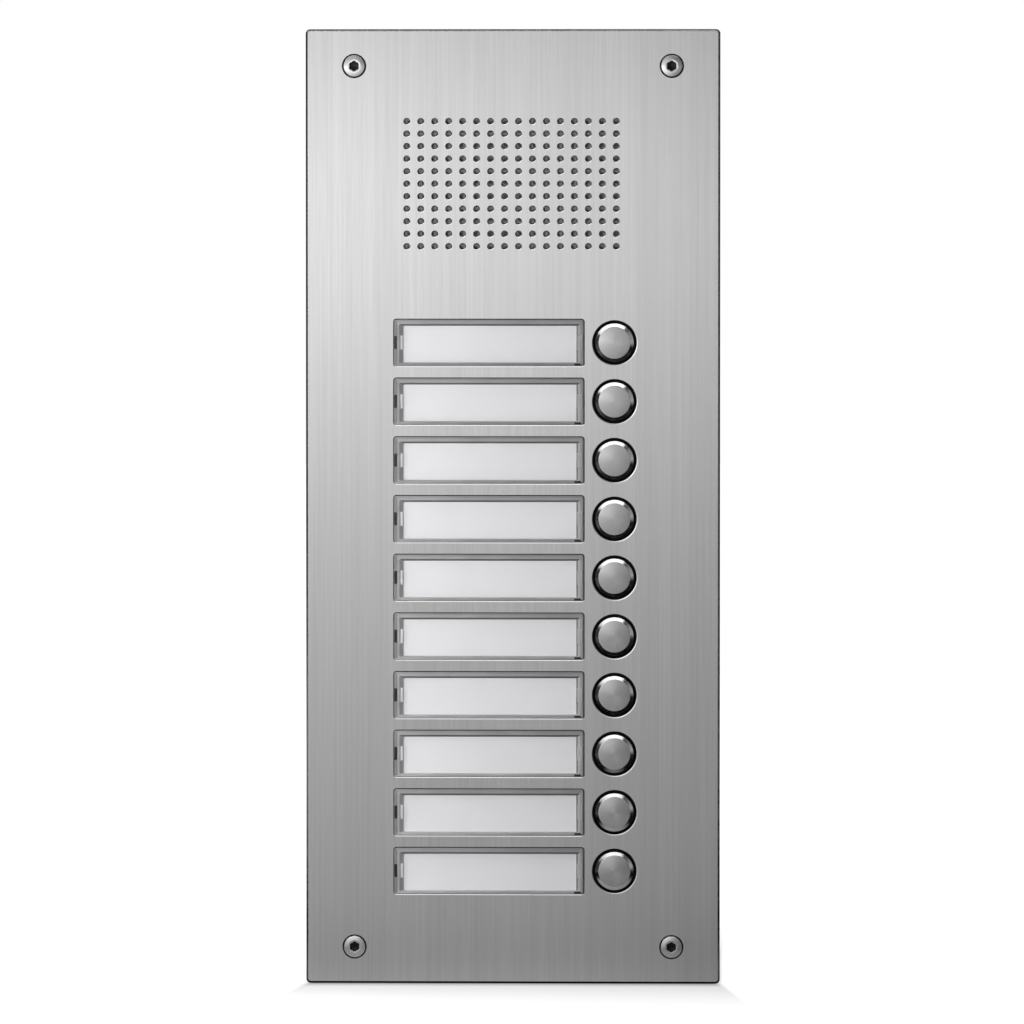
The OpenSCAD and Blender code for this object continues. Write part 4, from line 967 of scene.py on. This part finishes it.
def front_wall():
    """The wall the faceplate mirrors: a soft box at the upper left on a dimmer ground."""
    mat, tree, glow = emitter("studio_front")
    x, _, z = coordinates(tree)
    across = ramp(tree, x, [
        (LEFT_X, 0.0), (-0.5, 0.1), (-0.38, 0.95), (-0.2, 1.0), (-0.05, 0.85),
        (0.015, 0.62), (0.06, 0.385), (0.25, 0.14), (0.4, 0.0), (RIGHT_X, 0.0)])
    up = ramp(tree, z, [
        (WALL_FOOT, 0.173), (-0.06, 0.27), (0.034, 0.498), (0.08, 0.73), (0.115, 1.0),
        (0.165, 0.49), (0.25, 0.25), (WALL_TOP, 0.145)])
    ground = ramp(tree, x, [
        (LEFT_X, 0.04), (-0.5, 0.05), (-0.38, 0.2), (0.0, 0.2), (0.15, 0.12), (0.4, 0.1),
        (RIGHT_X, 0.1)])
    soft_box = combine(tree, "MULTIPLY", across, up)
    level = combine(tree, "MULTIPLY_ADD", soft_box, 2.62, ground)
    tree.links.new(level, glow.inputs["Strength"])
    card("studio_front", [(LEFT_X, WALL_Y, WALL_FOOT), (RIGHT_X, WALL_Y, WALL_FOOT),
                          (RIGHT_X, WALL_Y, WALL_TOP), (LEFT_X, WALL_Y, WALL_TOP)], mat)


def plain_card(name, corners, level):
    card(name, corners, emitter(name, level)[0])


def apron(z):
    """The floor as the panel mirrors it.

    The panel's foot mirrors it lit nearly up to the plate. What lies higher up
    mirrors it dark close to the panel, and as bright as the wall further out.
    """
    mat, tree, glow = emitter("studio_apron")
    x, y, _ = coordinates(tree)
    out = [(WALL_Y, 0.52), (-0.25, 0.5), (-0.12, 0.45)]
    from_foot = ramp(tree, y, out + [
        (-0.05, 0.43), (-0.03, 0.46), (-0.012, 0.48), (-0.0055, 0.5), (-0.0045, 0.0),
        (APRON_BACK, 0.0)])
    from_above = ramp(tree, y, out + [(-0.075, 0.0), (APRON_BACK, 0.0)])
    length = tree.nodes.new("ShaderNodeLightPath").outputs["Ray Length"]
    mix = tree.nodes.new("ShaderNodeMix")
    tree.links.new(ramp(tree, length, [(0.06, 0.0), (0.09, 1.0)]), mix.inputs["Factor"])
    tree.links.new(from_foot, mix.inputs["A"])
    tree.links.new(from_above, mix.inputs["B"])
    across = ramp(tree, x, [
        (LEFT_X, 0.26), (-0.4, 0.26), (-0.3, 1.0), (-0.1, 1.0), (0.02, 0.92), (0.1, 0.54),
        (0.2, 0.38), (0.3, 0.3), (0.4, 0.0), (RIGHT_X, 0.0)])
    level = combine(tree, "MULTIPLY", mix.outputs["Result"], across)
    tree.links.new(level, glow.inputs["Strength"])
    card("studio_apron", [(LEFT_X, WALL_Y, z), (RIGHT_X, WALL_Y, z),
                          (RIGHT_X, APRON_BACK, z), (LEFT_X, APRON_BACK, z)], mat)


def side_card(name, x, near, far, stops):
    """An upright card beside the panel whose level follows the height."""
    mat, tree, glow = emitter(name)
    _, _, z = coordinates(tree)
    tree.links.new(ramp(tree, z, stops), glow.inputs["Strength"])
    low, high = stops[0][0], stops[-1][0]
    card(name, [(x, near, low), (x, far, low), (x, far, high), (x, near, high)], mat)


def studio():
    """Floor, world, lamps and the cards that stand round the panel for the steel to mirror."""
    floor_z = CAD_BOX[0][2] - 0.02 * MM
    left, right, top = LEFT_X, RIGHT_X, CEILING_Z
    near, far = STRIP_Y
    strip_end, dim = STRIP_END_X, 0.12
    front_wall()
    apron(floor_z + 0.05 * MM)
    plain_card("studio_top", [(left, near, top), (strip_end, near, top),
                              (strip_end, far, top), (left, far, top)], 2.4)
    plain_card("studio_top_end", [(strip_end, near, top), (right, near, top),
                                  (right, far, top), (strip_end, far, top)], dim)
    plain_card("studio_ceiling", [(left, WALL_Y, WALL_TOP), (right, WALL_Y, WALL_TOP),
                                  (right, near, top), (left, near, top)], dim)
    plain_card("studio_back_ceiling", [(left, far, top), (right, far, top),
                                       (right, BACK_Y, top), (left, BACK_Y, top)], dim)
    side_card("studio_left", left, WALL_Y, BACK_Y, [(floor_z, 0.04), (top, 0.04)])
    dark = [(floor_z, 0.03), (top, 0.03)]
    lit = [(floor_z, 0.1), (-0.12, 0.16), (0.0, 0.5), (0.055, 0.8), (0.12, 0.6), (0.4, 0.5),
           (top, 0.45)]
    side_card("studio_right_front", right, WALL_Y, SIDE_STRIP_Y[0], dark)
    side_card("studio_right_strip", right, *SIDE_STRIP_Y, lit)
    side_card("studio_right_back", right, SIDE_STRIP_Y[1], BACK_Y, dark)
    floor(floor_z)
    world()
    lamp("key", place=(-0.12, -0.075, -0.03), aim=(0, 0, -0.03), size=(0.04, 0.26), power=0.172)
    lamp("fill", place=(-0.35, -1.1, 0.45), aim=(0, 0, 0), size=(0.4, 0.4), power=1.2)


def lamp(name, place, aim, size, power):
    """A rectangular lamp that no reflection shows."""
    data = bpy.data.lights.new(name, "AREA")
    data.shape = "RECTANGLE"
    data.size, data.size_y = size
    data.energy = power
    obj = bpy.data.objects.new(name, data)
    obj.location = place
    obj.rotation_mode = "QUATERNION"
    obj.rotation_quaternion = (Vector(aim) - Vector(place)).to_track_quat("-Z", "Y")
    obj.visible_glossy = False
    obj.visible_camera = False
    bpy.context.scene.collection.objects.link(obj)


def seen_directly(tree):
    """1 for camera, glossy and transmission rays, and 0 for the rest."""
    path = tree.nodes.new("ShaderNodeLightPath")
    total = path.outputs["Is Camera Ray"]
    for ray in ("Is Glossy Ray", "Is Transmission Ray"):
        total = combine(tree, "MAXIMUM", total, path.outputs[ray])
    return total


def floor(z):
    """A white floor with a soft shadow, partly real and partly painted: its glow is painted down to
    black at the plate's foot, and white beside the panel.
    """
    mat = bpy.data.materials.new("studio_floor")
    mat.use_nodes = True
    tree = mat.node_tree
    shader = tree.nodes["Principled BSDF"]
    shader.inputs["Base Color"].default_value = (0.25, 0.25, 0.25, 1)
    shader.inputs["Roughness"].default_value = 0.8
    shader.inputs["Specular IOR Level"].default_value = 0.1
    shader.inputs["Emission Color"].default_value = (1, 1, 1, 1)
    x, y, _ = coordinates(tree)
    # The painted shadow's sides fade out over 4 mm at the plate, and over more in front of it.
    outside = combine(tree, "SUBTRACT", combine(tree, "ABSOLUTE", x), CAD_BOX[1][0] - 3 * MM)
    fade = combine(tree, "MULTIPLY_ADD", combine(tree, "MINIMUM", y, 0), -0.12, 4 * MM)
    painted_shadow_sides = ramp(tree, combine(tree, "DIVIDE", outside, fade), [(0.0, 0.0), (1.0, 1.0)])
    # Painted shadow in front of and behind the panel, black at the plate's foot.
    painted_shadow_ahead = ramp(tree, y, [
        (-1.0, 1.0), (-0.15, 1.0), (-0.1, 0.96), (-0.055, 0.84), (-0.03, 0.73),
        (-0.0161, 0.69), (-0.0125, 0.64), (-0.0097, 0.55), (-0.0065, 0.34),
        (-0.0048, 0.16), (-0.0038, 0.0), (0.042, 0.2), (0.06, 0.4), (0.15, 0.85),
        (0.25, 1.0), (1.0, 1.0)])
    level = combine(tree, "MAXIMUM", painted_shadow_sides, painted_shadow_ahead)
    glow = combine(tree, "MULTIPLY", seen_directly(tree), level)
    tree.links.new(glow, shader.inputs["Emission Strength"])
    obj = card("studio_floor", [(-6, -6, z), (6, -6, z), (6, 6, z), (-6, 6, z)], mat, camera=True)
    obj.visible_shadow = True


def world():
    """White where it is seen, and dim as a light."""
    made = bpy.data.worlds.new("studio")
    bpy.context.scene.world = made
    made.use_nodes = True
    tree = made.node_tree
    tree.nodes.clear()
    out = tree.nodes.new("ShaderNodeOutputWorld")
    seen, unseen = (tree.nodes.new("ShaderNodeBackground") for _ in range(2))
    for node, strength in ((seen, 1.0), (unseen, 0.095)):
        node.inputs["Color"].default_value = (1, 1, 1, 1)
        node.inputs["Strength"].default_value = strength
    mix = tree.nodes.new("ShaderNodeMixShader")
    tree.links.new(seen_directly(tree), mix.inputs["Fac"])
    tree.links.new(unseen.outputs[0], mix.inputs[1])
    tree.links.new(seen.outputs[0], mix.inputs[2])
    tree.links.new(mix.outputs[0], out.inputs["Surface"])


def camera():
    """A long lens in front of the panel, a little above and to the right of it."""
    distance, view_width = 3.0, 0.3485
    azimuth, elevation = math.radians(1.5), math.radians(2)
    aim = Vector((-0.3 * MM, PLATE_FRONT, -1.65 * MM))
    back = Vector((math.sin(azimuth) * math.cos(elevation),
                   -math.cos(azimuth) * math.cos(elevation), math.sin(elevation)))
    data = bpy.data.cameras.new("camera")
    data.sensor_width = 36
    data.lens = 36 * distance / view_width
    data.clip_start, data.clip_end = 0.01, 50
    obj = bpy.data.objects.new("camera", data)
    obj.location = aim + back * distance
    obj.rotation_mode = "QUATERNION"
    obj.rotation_quaternion = (-back).to_track_quat("-Z", "Y")
    bpy.context.scene.collection.objects.link(obj)
    bpy.context.scene.camera = obj


dress_nodes()
faceplate()
plate_screws()
collars()
for row in ROWS:
    cap(row)
    spring(row)
    window(row)
studio()
camera()
bpy.context.scene.view_settings.view_transform = "Standard"
